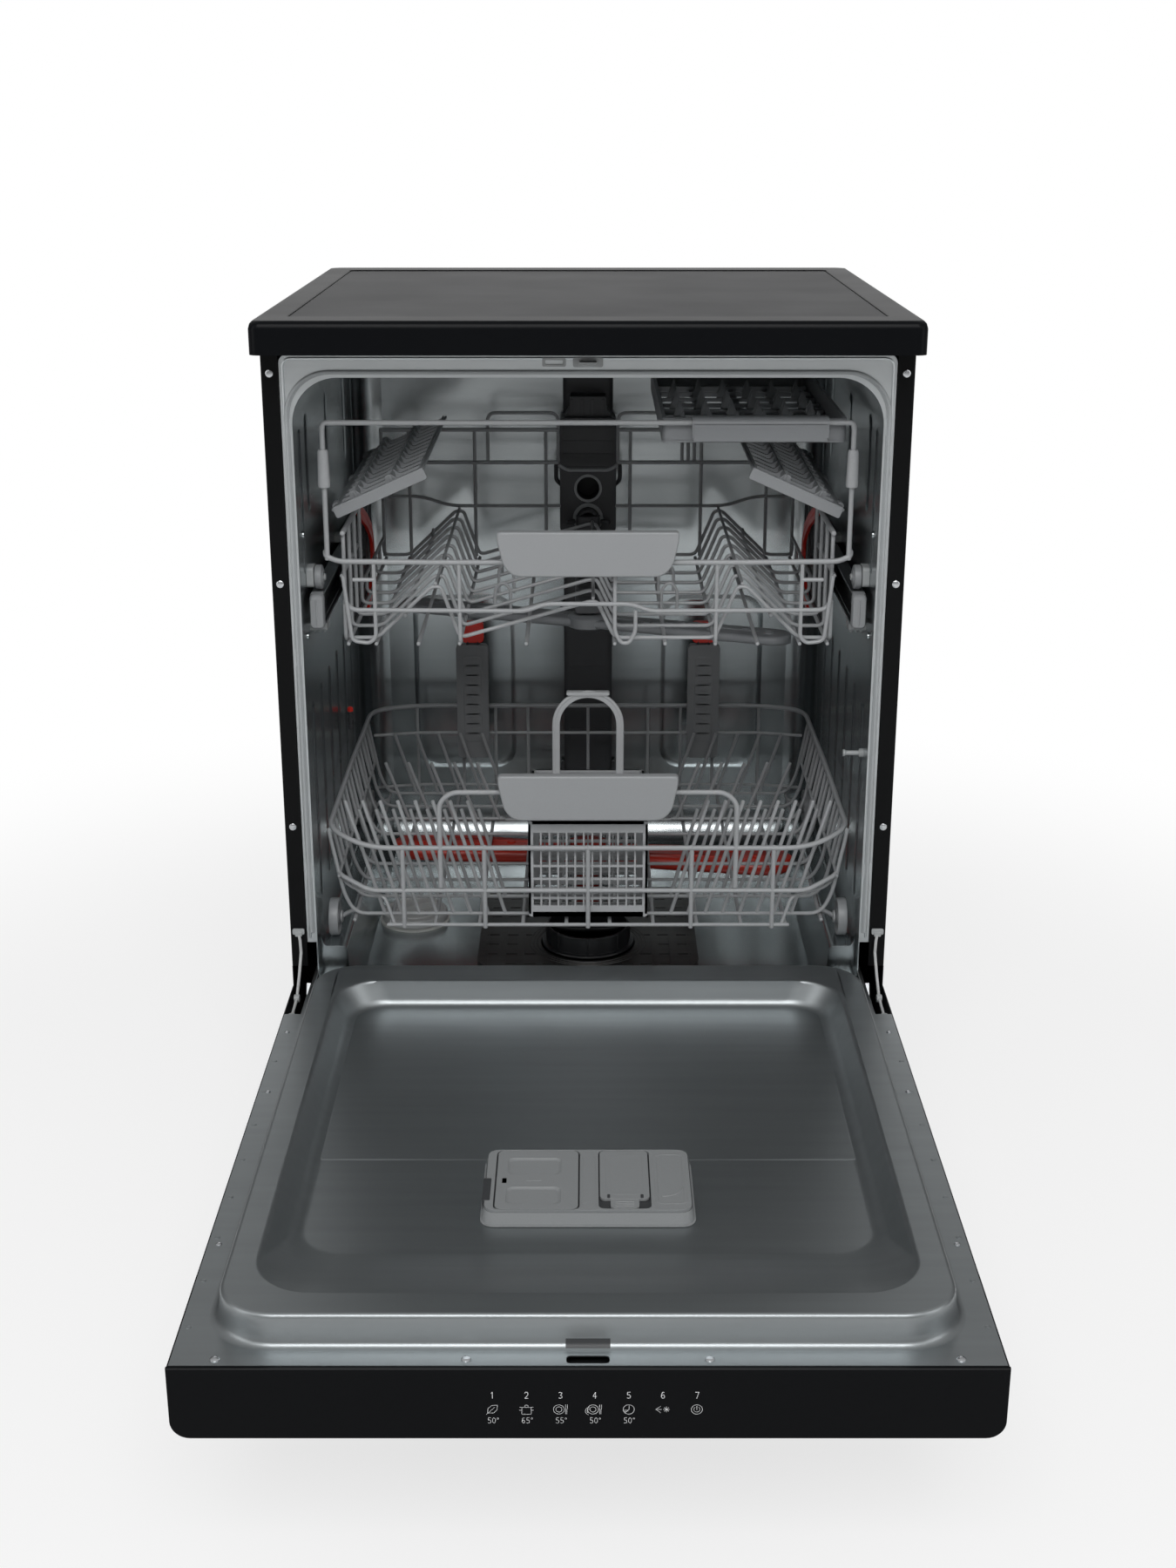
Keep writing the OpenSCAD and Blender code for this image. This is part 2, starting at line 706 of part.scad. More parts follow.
// Taut cords from the clips on the cabinet to the door, one on each side
module balance_cords() {
    color("#d8dad8") both_sides() union() {
        box([285, front_y - 3, 259], [297, front_y - gap, 265]);
        wire([[291, 58.4, 261], [289, 56, 222], [290.5, 24, 186], [291.5, -8, 181]], 3);
        translate([290.5, 24, 186]) rotate([0, 90, 0]) cylinder(h = 6, r = 4, $fn = 8, center = true);
    }
}

// ---------------------------------------------------------------- upper rack

module upper_rails() {
    x1 = rail_x + 12.5;
    color("#5e6266") both_sides() difference() {
        union() {
            box([x1 - 2, 92, rail_z], [x1, rail_end, rail_z + rail_h]);
            for (z = [rail_z, rail_z + rail_h - 2.2]) box([rail_x, 92, z], [x1, rail_end, z + 2.2]);
            box([rail_x - 1, 87, rail_z - 1], [x1 + 0.5, 97, rail_z + rail_h + 0.4]);
        }
        for (z = [rail_z + 2.2, rail_z + rail_h - 2.2 - seam]) seam_z(z, [250, 97], [280, 545]);
        seam_y(97, [250, rail_z - 2], [280, rail_z + rail_h + 2]);
    }
}

module upper_carriage() {
    color("#3a3b3e") both_sides() {
        difference() {
            box([247.5, 230, 505], [254, 466, 614]);
            for (i = [0:4]) box([240, 250 + i * 42, 520], [260, 276 + i * 42, 540]);
            box([240, 345, 548], [260, 410, 600]);
        }
        translate([254 + seam, track_y, track_z]) rotate([0, 90, 0]) cylinder(h = 11, r = 3);
        box([254 + seam, 425, rail_z + 3], [265.6, 447, rail_z + rail_h - 3]);
    }
}

module carriage_wheels() {
    color("#85888b") both_sides() translate([rail_x + 1.5, track_y, track_z]) rotate([0, 90, 0])
        difference() {
            cylinder(h = 8, r = track_r);
            translate([0, 0, -1]) cylinder(h = 10, r = 3.05);
        }
}

module adjuster_lever(s) {
    color("#c8200f") mirror([s < 0 ? 1 : 0, 0, 0]) along_x(242.4, 246.4)
        polygon([[262, 634], [330, 606], [412, 572], [428, 548], [414, 528], [366, 500], [372, 490],
                 [424, 520], [442, 548], [422, 584], [336, 620], [266, 646]]);
}

module adjuster_lever_left() { adjuster_lever(-1); }
module adjuster_lever_right() { adjuster_lever(1); }

// Cross wire of the upper rack's floor: two ridges hold plates, the middle slopes to one side
function floor_row(y) = [[-basket_half, y, 640], [-basket_half, y, floor_z], [-206, y, floor_z],
    [-152, y, 587], [-143, y, 587], [-125, y, floor_z], [1, y, 572], [9, y, 572], [26, y, floor_z],
    [124, y, floor_z], [145, y, 587], [154, y, 587], [206, y, floor_z], [basket_half, y, floor_z],
    [basket_half, y, 640]];

// The upper basket is welded from a flat floor grid, ridges, panels and the tray's posts
module upper_seams() {
    rear = upper_rear - 4;
    seam_z(floor_z + 2.4, [-246, upper_front + 3], [246, rear]);
    seam_y(upper_front + 3.1, [-246, 525], [246, 600]);
    seam_y(rear, [-246, 525], [246, 690]);
    both_sides() {
        seam_x(229, [upper_front - 6, 600], [upper_front + 6, 640]);
        seam_x(245, [upper_front - 6, 740], [upper_front + 6, 755]);
        seam_z(683.4, [28, rear], [126, rear + 8]);
        for (x = [38, 110]) seam_x(x, [rear, 690], [rear + 8, 706]);
    }
}

module upper_basket() {
    rows = 9;
    y0 = upper_front + 14;
    pitch = (upper_rear - y0) / (rows - 1);
    flare = 252;
    color("#8c8e92") difference() {
    union() {
        for (i = [0:rows - 1]) wire(floor_row(y0 + i * pitch), wire_d);
        for (x = [-basket_half, -206, -125, 26, 124, 206, basket_half])
            bar([x, upper_front, floor_z - 2], [x, upper_rear, floor_z - 2], wire_d);
        for (x = [-178, 178]) bar([x, y0, 559], [x, upper_rear, 559], wire_d);
        for (s = [-1, 1]) {
            bar([s * basket_half, y0 - 4, 640], [s * basket_half, upper_rear, 640], rim_d);
            bar([s * 250, upper_front + 0.6, 747], [s * 250, upper_front + 0.6, 617], rim_d);
            translate([s * 250, upper_front + 0.2, 686]) cylinder(h = 36, r = 6, $fn = 8);
            wire([[s * 32, upper_rear, 593], [s * 160, upper_rear, 593], [s * 190, upper_rear, 604],
                  [s * basket_half, upper_rear, 604]], wire_d);
            for (z = [643, 680])
                bar([s * 34, upper_rear, z], [s * basket_half, upper_rear, z], wire_d + 0.6);
            for (x = [48, 129, 204]) bar([s * x, upper_rear, floor_z - 2], [s * x, upper_rear, 680], wire_d);
            bar([s * basket_half, upper_rear, floor_z], [s * basket_half, upper_rear, 680], wire_d);
            wire([[s * 34, upper_rear, 643], [s * 34, upper_rear, 700], [s * 114, upper_rear, 700],
                  [s * 114, upper_rear, 643]], wire_d);
            for (x = [125.4, 206.4]) bar([s * x, upper_front + 0.4, floor_z - 2.6],
                [s * x, upper_front + 0.4, 614], wire_d);
        }
        bar([-250, upper_front, 747.4], [250, upper_front, 747.4], rim_d);
        wire([[-flare, upper_front, 622], [-228, upper_front, 614], [228, upper_front, 614],
              [flare, upper_front, 622]], rim_d);
        wire([[-basket_half, upper_front + 8, 572], [-228, upper_front, 566], [228, upper_front, 566],
              [basket_half, upper_front + 8, 572]], wire_d + 0.6);
        bar([26.4, upper_front + 0.4, floor_z - 2.6], [26.4, upper_front + 0.4, 614], wire_d);
        for (x = [107, 121])
            wire([[x, upper_rear, 640], [x, upper_rear, 725.4], [x, upper_rear - 40, 725.4]], wire_d);
        for (s = [-1, 1]) wire([[s * basket_half, upper_front + 8, 572],
            [s * basket_half, upper_front + 10, floor_z - 2]], wire_d);
    }
    upper_seams();
    }
}

// Grip bar with a curved lower edge, on the rack's front wires
module rack_handle(bar_y, bar_z, z0, w, h) {
    drop = 12;
    y0 = bar_y - 13;
    y1 = bar_y - rim_d / 2 - 0.3;
    union() {
        translate([0, 0, z0]) along_y(y0, y1) polygon([[-w / 2, h - 4], [-w / 2 + 5, h], [w / 2 - 5, h],
            [w / 2, h - 4], [w / 2 - 6, 10], [w / 2 - drop - 4, 0], [-w / 2 + drop + 4, 0], [-w / 2 + 6, 10]]);
        for (x = [-40, 40]) difference() {
            box([x - 7, y1 - 0.5, bar_z - 6], [x + 7, bar_y + 5, bar_z + 6]);
            box([x - 8, bar_y - 2.85, bar_z - 2.85], [x + 8, bar_y + 2.85, bar_z + 2.85]);
        }
    }
}

module upper_rack_handle() {
    color("#9a9da0") rack_handle(upper_front, 614, 601, 174, 39);
}

module upper_feed_tube() {
    color("#3c3d40") union() {
        translate([0, upper_rear + 12, socket_z]) rotate([-90, 0, 0]) cylinder(h = 14.6, r = 12.6);
        box([-14, upper_rear + 4, 515], [14, upper_rear + 20, socket_z + 6]);
        box([-14, up_arm_y - 14, 515], [14, upper_rear + 10, 529]);
        translate([0, up_arm_y, up_arm_z + 2]) cylinder(h = 26, r = 8);
    }
}

module upper_spray_arm() {
    color("#7f8286") translate([0, up_arm_y, up_arm_z]) rotate([0, 0, -20]) difference() {
        union() {
            spray_blade(upper_arm_r, 34, 40, 10);
            rotate([0, 0, 180]) spray_blade(upper_arm_r, 34, 40, 10);
            translate([0, 0, -2]) cylinder(h = 15, r = 22);
        }
        translate([0, 0, 1.4]) cylinder(h = 20, r = 8.06);
    }
}

// Folding shelf: lies flat from its pivot bar, then tilts to its resting angle
module cup_shelf(s) {
    slots = 12;
    len = 336;
    color("#8f9296") mirror([s < 0 ? 1 : 0, 0, 0]) translate([shelf_x - 4, 104, shelf_z])
        rotate([0, shelf_tilt, 0]) difference() {
            union() {
                box([-shelf_w, 0, -1.5], [0, len, 1.5]);
                box([-shelf_w, 0, -9], [-2, 2.5, 1.5]);
                for (x = [-shelf_w + 30, -30]) box([x, 6, 1], [x + 2.5, len - 6, 9]);
            }
            for (i = [0:slots - 1], x = [-shelf_w + 6, -shelf_w + 36, -26])
                box([x, 14 + i * 27, -5], [x + 20, 32 + i * 27, 5]);
        }
}

module cup_shelf_left() { cup_shelf(-1); }
module cup_shelf_right() { cup_shelf(1); }

module cutlery_tray() {
    x0 = 70;
    x1 = 244;
    y0 = 98;
    y1 = 470;
    z0 = 728;
    color("#8a8d91") union() {
        difference() {
            box([x0, y0, z0], [x1, y1, 750.6]);
            box([x0 + 2.4, y0 + 2.4, z0 + 2.4], [x1 - 2.4, y1 - 2.4, 760]);
            for (i = [0:8], j = [0:3])
                box([x0 + 10 + j * 40, y0 + 16 + i * 37, z0 - 1], [x0 + 40 + j * 40, y0 + 40 + i * 37, z0 + 4]);
        }
        for (i = [0:8], j = [0:5]) translate([x0 + 20 + j * 27, y0 + 11 + i * 37, z0 + 2])
            along_y(0, 2) polygon([[-6, 0], [6, 0], [0, 15]]);
        box([97, 84.6, 731], [226, 87, 753]);
        box([97, 84.6, 750.6], [226, y0 + 2.4, 753]);
    }
}

// ---------------------------------------------------------------- lower rack

// The lower basket is welded from a flat floor grid, panels, corner rims and single prongs
module lower_seams() {
    top = low_floor + 2.3;
    seam_z(top, [-290, 81], [290, 520]);
    seam_y(81, [-215, 230], [215, 300]);
    seam_z(329.2, [-160, 70], [160, 81]);
    both_sides() {
        seam_x(136, [70, 374], [81, 400]);
        seam_z(374, [140, 70], [160, 81]);
        seam_x(221, [70, 270], [110, 340]);
        seam_y(97.2, [222, 270], [280, 350]);
        seam_x(208, [480, top + seam], [510, 360]);
        seam_y(484, [240, 300], [280, 360]);
        for (y = [107, 445]) seam_x(240.6, [y, 226], [y + 21, top]);
    }
}

module lower_basket() {
    rows = 9;
    y0 = 100;
    y1 = 470;
    pitch = (y1 - y0) / (rows - 1);
    color("#8c8e92") difference() {
    union() {
        for (i = [0:rows - 1]) let (y = y0 + i * pitch)
            wire([[-262, y, 338], [-249, y, 268], [-238, y, low_floor], [238, y, low_floor],
                  [249, y, 268], [262, y, 338]], wire_d);
        for (x = [-238, -200, -155, -110, -66, 66, 110, 155, 200, 238])
            bar([x, abs(x) > 210 ? 91 : low_front, low_floor - 3.4], [x, low_rear, low_floor - 3.4], wire_d);
        wire([[-262, 100, 338], [-220, low_front, 326], [220, low_front, 326], [262, 100, 338],
              [258, 488, 345], [205, low_rear, 347], [-205, low_rear, 347], [-258, 488, 345],
              [-262, 100, 338]], rim_d);
        wire([[-256, 100, 290], [-220, low_front, 280], [220, low_front, 280], [256, 100, 290]], rim_d);
        bar([-203, low_front, low_floor - 3.4], [203, low_front, low_floor - 3.4], wire_d);
        for (x = [-186, -104, 0, 104, 186])
            bar([x, low_front, 238], [x, low_front, 330], rim_d);
        wire([[-148, low_front, 282], [-148, low_front, 378], [-138, low_front, 385],
              [138, low_front, 385], [148, low_front, 378], [148, low_front, 282]], rim_d);
        for (z = [low_floor, 313])
            wire([[-256, 488, z], [-205, low_rear, z], [205, low_rear, z], [256, 488, z]], wire_d);
        for (x = [-205, -150, -72, 0, 72, 150, 205])
            bar([x, low_rear, low_floor - 2], [x, low_rear, 347], wire_d);
        for (s = [-1, 1]) {
            for (i = [0:7]) bar([s * (208 - i * 17.6), 100, low_floor], [s * (234 - i * 17.6), 100, 350], wire_d);
            for (i = [0:4]) bar([s * (206 - i * 26), y1, low_floor], [s * (230 - i * 26), y1, 322], wire_d);
            for (y = [118, 455]) bar([s * 238, y, low_floor - 3.4], [s * 254, y, wheel_z], wire_d);
            for (y = [118, 455]) translate([s * 260.5 - 7.5, y, wheel_z]) rotate([0, 90, 0])
                cylinder(h = 15, r = 3.4);
        }
    }
    lower_seams();
    }
}

module lower_rack_handle() {
    color("#9a9da0") rack_handle(low_front, 385, 355, 178, 42);
}

// Lattice basket with a carrying arch
module cutlery_basket() {
    y0 = 84;
    y1 = 246;
    half = 60;
    z0 = low_floor + 3;
    z1 = 352;
    cell = 13;
    color("#9a9da0") difference() {
    union() {
        difference() {
            box([-half, y0, z0], [half, y1, z1]);
            box([-half + 2.5, y0 + 2.5, z0 + 2.5], [half - 2.5, y1 - 2.5, z1 + 1]);
            for (i = [0:7]) box([-half + 9 + i * cell, y0 - 1, z0 + 10], [-half + 18 + i * cell, y1 + 1, z1 - 14]);
            for (i = [0:10]) box([-half - 1, y0 + 9 + i * cell, z0 + 10], [half + 1, y0 + 18 + i * cell, z1 - 14]);
            for (i = [0:7], j = [0:10])
                box([-half + 9 + i * cell, y0 + 9 + j * cell, z0 - 1],
                    [-half + 18 + i * cell, y0 + 18 + j * cell, z0 + 4]);
        }
        for (z = [z0 + 34, z0 + 62]) difference() {
            box([-half, y0, z], [half, y1, z + 3]);
            box([-half + 2.5, y0 + 2.5, z - 1], [half - 2.5, y1 - 2.5, z + 4]);
        }
        box([-half + 1, 164, z1 - 8], [half - 1, 172, z1 - 2]);
        along_y(164, 172) difference() {
            union() {
                translate([0, 427]) circle(36);
                translate([-36, z1 - 6]) square([72, 427 - z1 + 6]);
            }
            translate([0, 427]) circle(29);
            translate([-29, z1 - 10]) square([58, 427 - z1 + 10]);
        }
    }
    seam_z(z0 + 2.5, [-62, y0 - 2], [62, y1 + 2]);
    for (y = [y0 + 2.5, y1 - 2.5 - seam]) seam_y(y, [-62, z0 + 2], [62, z1 + 2]);
    both_sides() seam_x(half - 2.5 - seam, [163, z1 - 10], [173, z1]);
    for (z = [z1 - 2, 440]) seam_z(z, [-38, 163], [38, 173]);
    }
}

// Upright supports with red caps, clipped to the rear of the lower rack
module support_panels() {
    y0 = low_rear - 16;
    both_sides() {
        color("#5b5d60") union() {
            box([118, y0, 286], [156, y0 + 12, 426]);
            box([124, y0 + 10, 318], [130, low_rear - 2.6, 330]);
        }
        color("#c8200f") translate([0, 0, 428.2]) box([123, y0 + 1, 0], [149, y0 + 11, 26]);
        color("#151617") box([128, y0 + 3, 420], [144, y0 + 9, 432]);
    }
}

module tine_row(s) {
    color("#8c8e92") union() {
        bar([s * 96, tine_y, low_floor + 5], [s * 226, tine_y, low_floor + 5], wire_d);
        for (i = [0:4]) let (x = 206 - i * 26) bar([s * x, tine_y, low_floor + 5],
            [s * (x + tine_h * tan(tine_lean)), tine_y, low_floor + 5 + tine_h], wire_d);
    }
}

module tine_row_left() { tine_row(-1); }
module tine_row_right() { tine_row(1); }

module lower_wheels(y) {
    color("#8f9295") both_sides() translate([256.5, y, wheel_z]) rotate([0, 90, 0]) difference() {
        cylinder(h = 10, r = wheel_r);
        translate([0, 0, -1]) cylinder(h = 12, r = 3.45);
    }
}

module lower_wheels_front() { lower_wheels(118); }
module lower_wheels_rear() { lower_wheels(455); }

worktop_board();
worktop_frame();
side_panel_left();
side_panel_right();
back_panel();
base_tray();
feet();
kick_plate();
hinge_brackets();
tub();
door_seal();
tub_fittings();
spray_duct();
filter_plate();
softener();
sump();
circulation_pump();
water_intake();
inlet_valve();
drain_spigot();
cabinet_screws();
filter_cup();
salt_cap();
rail_rollers();
lower_spray_arm();
door_outer_skin();
door_liner();
control_fascia();
display_window();
control_board();
dispenser_body();
door_latch();
hinge_arms();
door_screws();
detergent_lid();
rinse_aid_flap();
power_button();
program_button();
start_button();
balance_cords();
upper_rails();
upper_carriage();
carriage_wheels();
adjuster_lever_left();
adjuster_lever_right();
upper_basket();
upper_rack_handle();
upper_feed_tube();
upper_spray_arm();
cup_shelf_left();
cup_shelf_right();
cutlery_tray();
lower_basket();
lower_rack_handle();
cutlery_basket();
support_panels();
tine_row_left();
tine_row_right();
lower_wheels_front();
lower_wheels_rear();
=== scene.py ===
# %% [markdown]
# # Dressing a free-standing dishwasher
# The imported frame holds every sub-part as a plain solid, sorted into bodies that the joints move.
# This lesson builds the visible dishwasher around it: sheet steel, moulded plastic, dipped wire.
# Each piece rides on the body of the solid that it stands for, so the joints still work.
# Lengths are written in millimetres, as a maker would, and turned into metres in one place.

# %% Load the frame
import json
import math

import bmesh
import bpy
from mathutils import Matrix, Vector
from mathutils.geometry import tessellate_polygon

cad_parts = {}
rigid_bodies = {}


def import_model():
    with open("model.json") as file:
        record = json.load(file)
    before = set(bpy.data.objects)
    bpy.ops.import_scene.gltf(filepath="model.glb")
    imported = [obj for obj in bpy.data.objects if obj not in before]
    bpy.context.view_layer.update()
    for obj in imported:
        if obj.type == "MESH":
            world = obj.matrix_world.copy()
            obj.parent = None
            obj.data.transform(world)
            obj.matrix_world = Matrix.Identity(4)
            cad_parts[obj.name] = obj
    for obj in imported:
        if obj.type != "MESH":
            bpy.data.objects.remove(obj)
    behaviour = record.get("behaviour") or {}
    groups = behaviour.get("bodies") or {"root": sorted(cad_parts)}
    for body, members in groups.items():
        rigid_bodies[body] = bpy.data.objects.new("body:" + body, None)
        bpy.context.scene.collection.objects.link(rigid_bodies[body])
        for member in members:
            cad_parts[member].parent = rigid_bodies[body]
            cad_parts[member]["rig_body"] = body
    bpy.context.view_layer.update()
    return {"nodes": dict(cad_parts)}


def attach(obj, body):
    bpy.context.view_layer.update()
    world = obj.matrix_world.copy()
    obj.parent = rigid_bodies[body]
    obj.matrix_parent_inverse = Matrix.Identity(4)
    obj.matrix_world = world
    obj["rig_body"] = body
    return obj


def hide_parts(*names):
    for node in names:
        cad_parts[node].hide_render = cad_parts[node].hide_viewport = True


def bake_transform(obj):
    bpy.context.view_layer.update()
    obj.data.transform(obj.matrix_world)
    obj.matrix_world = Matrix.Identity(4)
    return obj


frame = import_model()

# %% [markdown]
# ## The camera
# It stands two steps in front of the machine at eye height and looks down into it by 19 degrees.
# The lens is a moderate one, so the open door grows towards the viewer without bulging.

# %% Camera
eye = bpy.data.cameras.new("eye")
eye.sensor_fit = "VERTICAL"
eye.sensor_height = 36
eye.lens = 45.31
eye.clip_end = 200
eye_stand = bpy.data.objects.new("eye", eye)
eye_stand.location = (0, -1.76677, 1.03413)
eye_stand.rotation_euler = (math.radians(70.857), 0, 0)
bpy.context.scene.collection.objects.link(eye_stand)
bpy.context.scene.camera = eye_stand
print("camera at", tuple(eye_stand.location))

# %% [markdown]
# ## Studio
# Polished steel shows what is around it more than its own colour, so the room matters.
# A pale floor carries the shadow. One wide soft panel above and in front fills the tub with light,
# one at each side and one behind lift the edges. The world is dark below and pale above, so that
# curved steel shows a change from dark to light. Only the camera sees the world as plain white.

# %% World and lights
scene = bpy.context.scene
scene.view_settings.view_transform = "Standard"


def link(tree, source, target):
    """Joins one node's output to another node's input."""
    tree.links.new(source, target)


world = bpy.data.worlds.new("studio")
world.use_nodes = True
scene.world = world
air = world.node_tree
air.nodes.clear()
sky_out = air.nodes.new("ShaderNodeOutputWorld")
seen = air.nodes.new("ShaderNodeBackground")
seen.inputs["Color"].default_value = (1, 1, 1, 1)
seen.inputs["Strength"].default_value = 1.0
fill = air.nodes.new("ShaderNodeBackground")
fill.inputs["Strength"].default_value = 0.42
ramp = air.nodes.new("ShaderNodeValToRGB")
ramp.color_ramp.elements[0].position = 0.46
ramp.color_ramp.elements[0].color = (0.05, 0.052, 0.055, 1)
ramp.color_ramp.elements[1].position = 0.8
ramp.color_ramp.elements[1].color = (1, 1, 1, 1)
place = air.nodes.new("ShaderNodeTexCoord")
slope = air.nodes.new("ShaderNodeVectorMath")
slope.operation = "DOT_PRODUCT"
slope.inputs[1].default_value = (0, -0.2, 0.9)
lift = air.nodes.new("ShaderNodeMapRange")
lift.inputs["From Min"].default_value = -1
lift.inputs["From Max"].default_value = 1
link(air, place.outputs["Generated"], slope.inputs[0])
link(air, slope.outputs["Value"], lift.inputs["Value"])
link(air, lift.outputs[0], ramp.inputs[0])
link(air, ramp.outputs[0], fill.inputs["Color"])
rays = air.nodes.new("ShaderNodeLightPath")
choice = air.nodes.new("ShaderNodeMixShader")
link(air, rays.outputs["Is Camera Ray"], choice.inputs[0])
link(air, fill.outputs[0], choice.inputs[1])
link(air, seen.outputs[0], choice.inputs[2])
link(air, choice.outputs[0], sky_out.inputs["Surface"])


def panel(name, size, place_at, aim_at, watts):
    """A soft rectangular light panel aimed at a point. Sizes and places in metres."""
    lamp = bpy.data.lights.new(name, "AREA")
    lamp.shape = "RECTANGLE"
    lamp.size, lamp.size_y = size
    lamp.energy = watts
    stand = bpy.data.objects.new(name, lamp)
    stand.location = place_at
    stand.rotation_euler = (Vector(aim_at) - Vector(place_at)).to_track_quat("-Z", "Y").to_euler()
    scene.collection.objects.link(stand)


panel("key_panel", (2.4, 1.6), (0.0, -2.6, 2.9), (0, 0.1, 0.35), 62)
for side, word in ((-1, "left"), (1, "right")):
    panel(word + "_panel", (1.4, 2.2), (side * 2.6, -1.4, 1.3), (0, 0.1, 0.4), 11)
panel("rear_panel", (2.4, 1.4), (0.0, 3.0, 1.3), (0, 0.3, 0.5), 7)
print("4 light panels")

# %% [markdown]
# ## Floor
# A plain pale sheet, large enough that its edge never shows. It receives the shadow, and for
# the camera it fades to white away from the machine, as a seamless paper roll does.

# %% Floor
floor_mesh = bpy.data.meshes.new("floor")
floor_mesh.from_pydata([(-40, -40, 0), (40, -40, 0), (40, 40, 0), (-40, 40, 0)], [], [(0, 1, 2, 3)])
floor = bpy.data.objects.new("floor", floor_mesh)
scene.collection.objects.link(floor)
paper = bpy.data.materials.new("pale_paper")
paper.use_nodes = True
tree = paper.node_tree
skin = tree.nodes["Principled BSDF"]
skin.inputs["Base Color"].default_value = (0.86, 0.86, 0.86, 1)
skin.inputs["Roughness"].default_value = 0.9
skin.inputs["Specular IOR Level"].default_value = 0.1
glow = tree.nodes.new("ShaderNodeEmission")
glow.inputs["Color"].default_value = (1, 1, 1, 1)
glow.inputs["Strength"].default_value = 1.0
far = tree.nodes.new("ShaderNodeTexGradient")
far.gradient_type = "SPHERICAL"
spot = tree.nodes.new("ShaderNodeMapping")
spot.inputs["Scale"].default_value = (0.62, 0.62, 0.62)
where = tree.nodes.new("ShaderNodeTexCoord")
near = tree.nodes.new("ShaderNodeMapRange")
near.interpolation_type = "SMOOTHSTEP"
near.inputs["From Max"].default_value = 0.55
near.inputs["To Min"].default_value = 1.0
near.inputs["To Max"].default_value = 0.74
eye_ray = tree.nodes.new("ShaderNodeLightPath")
share = tree.nodes.new("ShaderNodeMath")
share.operation = "MULTIPLY"
both = tree.nodes.new("ShaderNodeMixShader")
link(tree, where.outputs["Object"], spot.inputs["Vector"])
link(tree, spot.outputs[0], far.inputs[0])
link(tree, far.outputs["Fac"], near.inputs["Value"])
link(tree, near.outputs[0], share.inputs[0])
link(tree, eye_ray.outputs["Is Camera Ray"], share.inputs[1])
link(tree, share.outputs[0], both.inputs[0])
link(tree, skin.outputs[0], both.inputs[1])
link(tree, glow.outputs[0], both.inputs[2])
link(tree, both.outputs[0], tree.nodes["Material Output"].inputs["Surface"])
floor_mesh.materials.append(paper)
print("floor", tuple(floor.dimensions))

# %% [markdown]
# ## Shared effects
# Three effects return in many finishes: the fine drawn grain of rolled steel, the faint orange
# peel and scuffing of moulded plastic, and slow cloudiness that keeps large areas alive.
# Each one is a node group that puts out plain values. The shader stays in each material.

# %% Drawn grain
def new_group(name, inputs, outputs):
    """An empty shader node group with named value sockets."""
    group = bpy.data.node_groups.new(name, "ShaderNodeTree")
    for label, value in inputs:
        group.interface.new_socket(label, in_out="INPUT", socket_type="NodeSocketFloat").default_value = value
    for label in outputs:
        group.interface.new_socket(label, in_out="OUTPUT", socket_type="NodeSocketFloat")
    return group, group.nodes.new("NodeGroupInput"), group.nodes.new("NodeGroupOutput")


def stretched_noise(group, stretch, scale_from, detail):
    """Noise whose grains are stretched along one axis of the object."""
    coords = group.nodes.new("ShaderNodeTexCoord")
    mapping = group.nodes.new("ShaderNodeMapping")
    mapping.inputs["Scale"].default_value = stretch
    noise = group.nodes.new("ShaderNodeTexNoise")
    noise.inputs["Detail"].default_value = detail
    group.links.new(coords.outputs["Object"], mapping.inputs["Vector"])
    group.links.new(mapping.outputs[0], noise.inputs["Vector"])
    group.links.new(scale_from, noise.inputs["Scale"])
    return noise.outputs["Fac"]


def mixed(group, low, high, factor):
    """Value between two values, by a third."""
    node = group.nodes.new("ShaderNodeMapRange")
    group.links.new(factor, node.inputs["Value"])
    group.links.new(low, node.inputs["To Min"])
    group.links.new(high, node.inputs["To Max"])
    return node.outputs[0]


grain, grain_in, grain_out = new_group("drawn_grain", [("Scale", 60), ("Dark", 0.9), ("Light", 1.0)],
                                       ["Tone", "Height"])
streaks = stretched_noise(grain, (0.06, 1.0, 1.0), grain_in.outputs["Scale"], 5)
link(grain, mixed(grain, grain_in.outputs["Dark"], grain_in.outputs["Light"], streaks),
     grain_out.inputs["Tone"])
link(grain, streaks, grain_out.inputs["Height"])
print("group", grain.name)

# %% Moulded skin and cloudiness
peel, peel_in, peel_out = new_group("moulded_skin", [("Scale", 900), ("Dark", 0.9), ("Light", 1.05)],
                                    ["Tone", "Height"])
pores = stretched_noise(peel, (1, 1, 1), peel_in.outputs["Scale"], 3)
link(peel, mixed(peel, peel_in.outputs["Dark"], peel_in.outputs["Light"], pores), peel_out.inputs["Tone"])
link(peel, pores, peel_out.inputs["Height"])

cloud, cloud_in, cloud_out = new_group("handled_cloud", [("Scale", 9), ("Low", 0.3), ("High", 0.4)],
                                       ["Value"])
patches = stretched_noise(cloud, (1, 1, 1), cloud_in.outputs["Scale"], 6)
link(cloud, mixed(cloud, cloud_in.outputs["Low"], cloud_in.outputs["High"], patches),
     cloud_out.inputs["Value"])
print("groups", peel.name, cloud.name)

# %% [markdown]
# ## Finishes
# Every finish is one Principled shader. Its colour is a base colour multiplied by the tone of
# one group, its roughness wanders with the cloud group, and a faint bump carries the texture.
# Metals use the drawn grain, plastics the moulded skin.

# %% Finish maker
finishes = {}


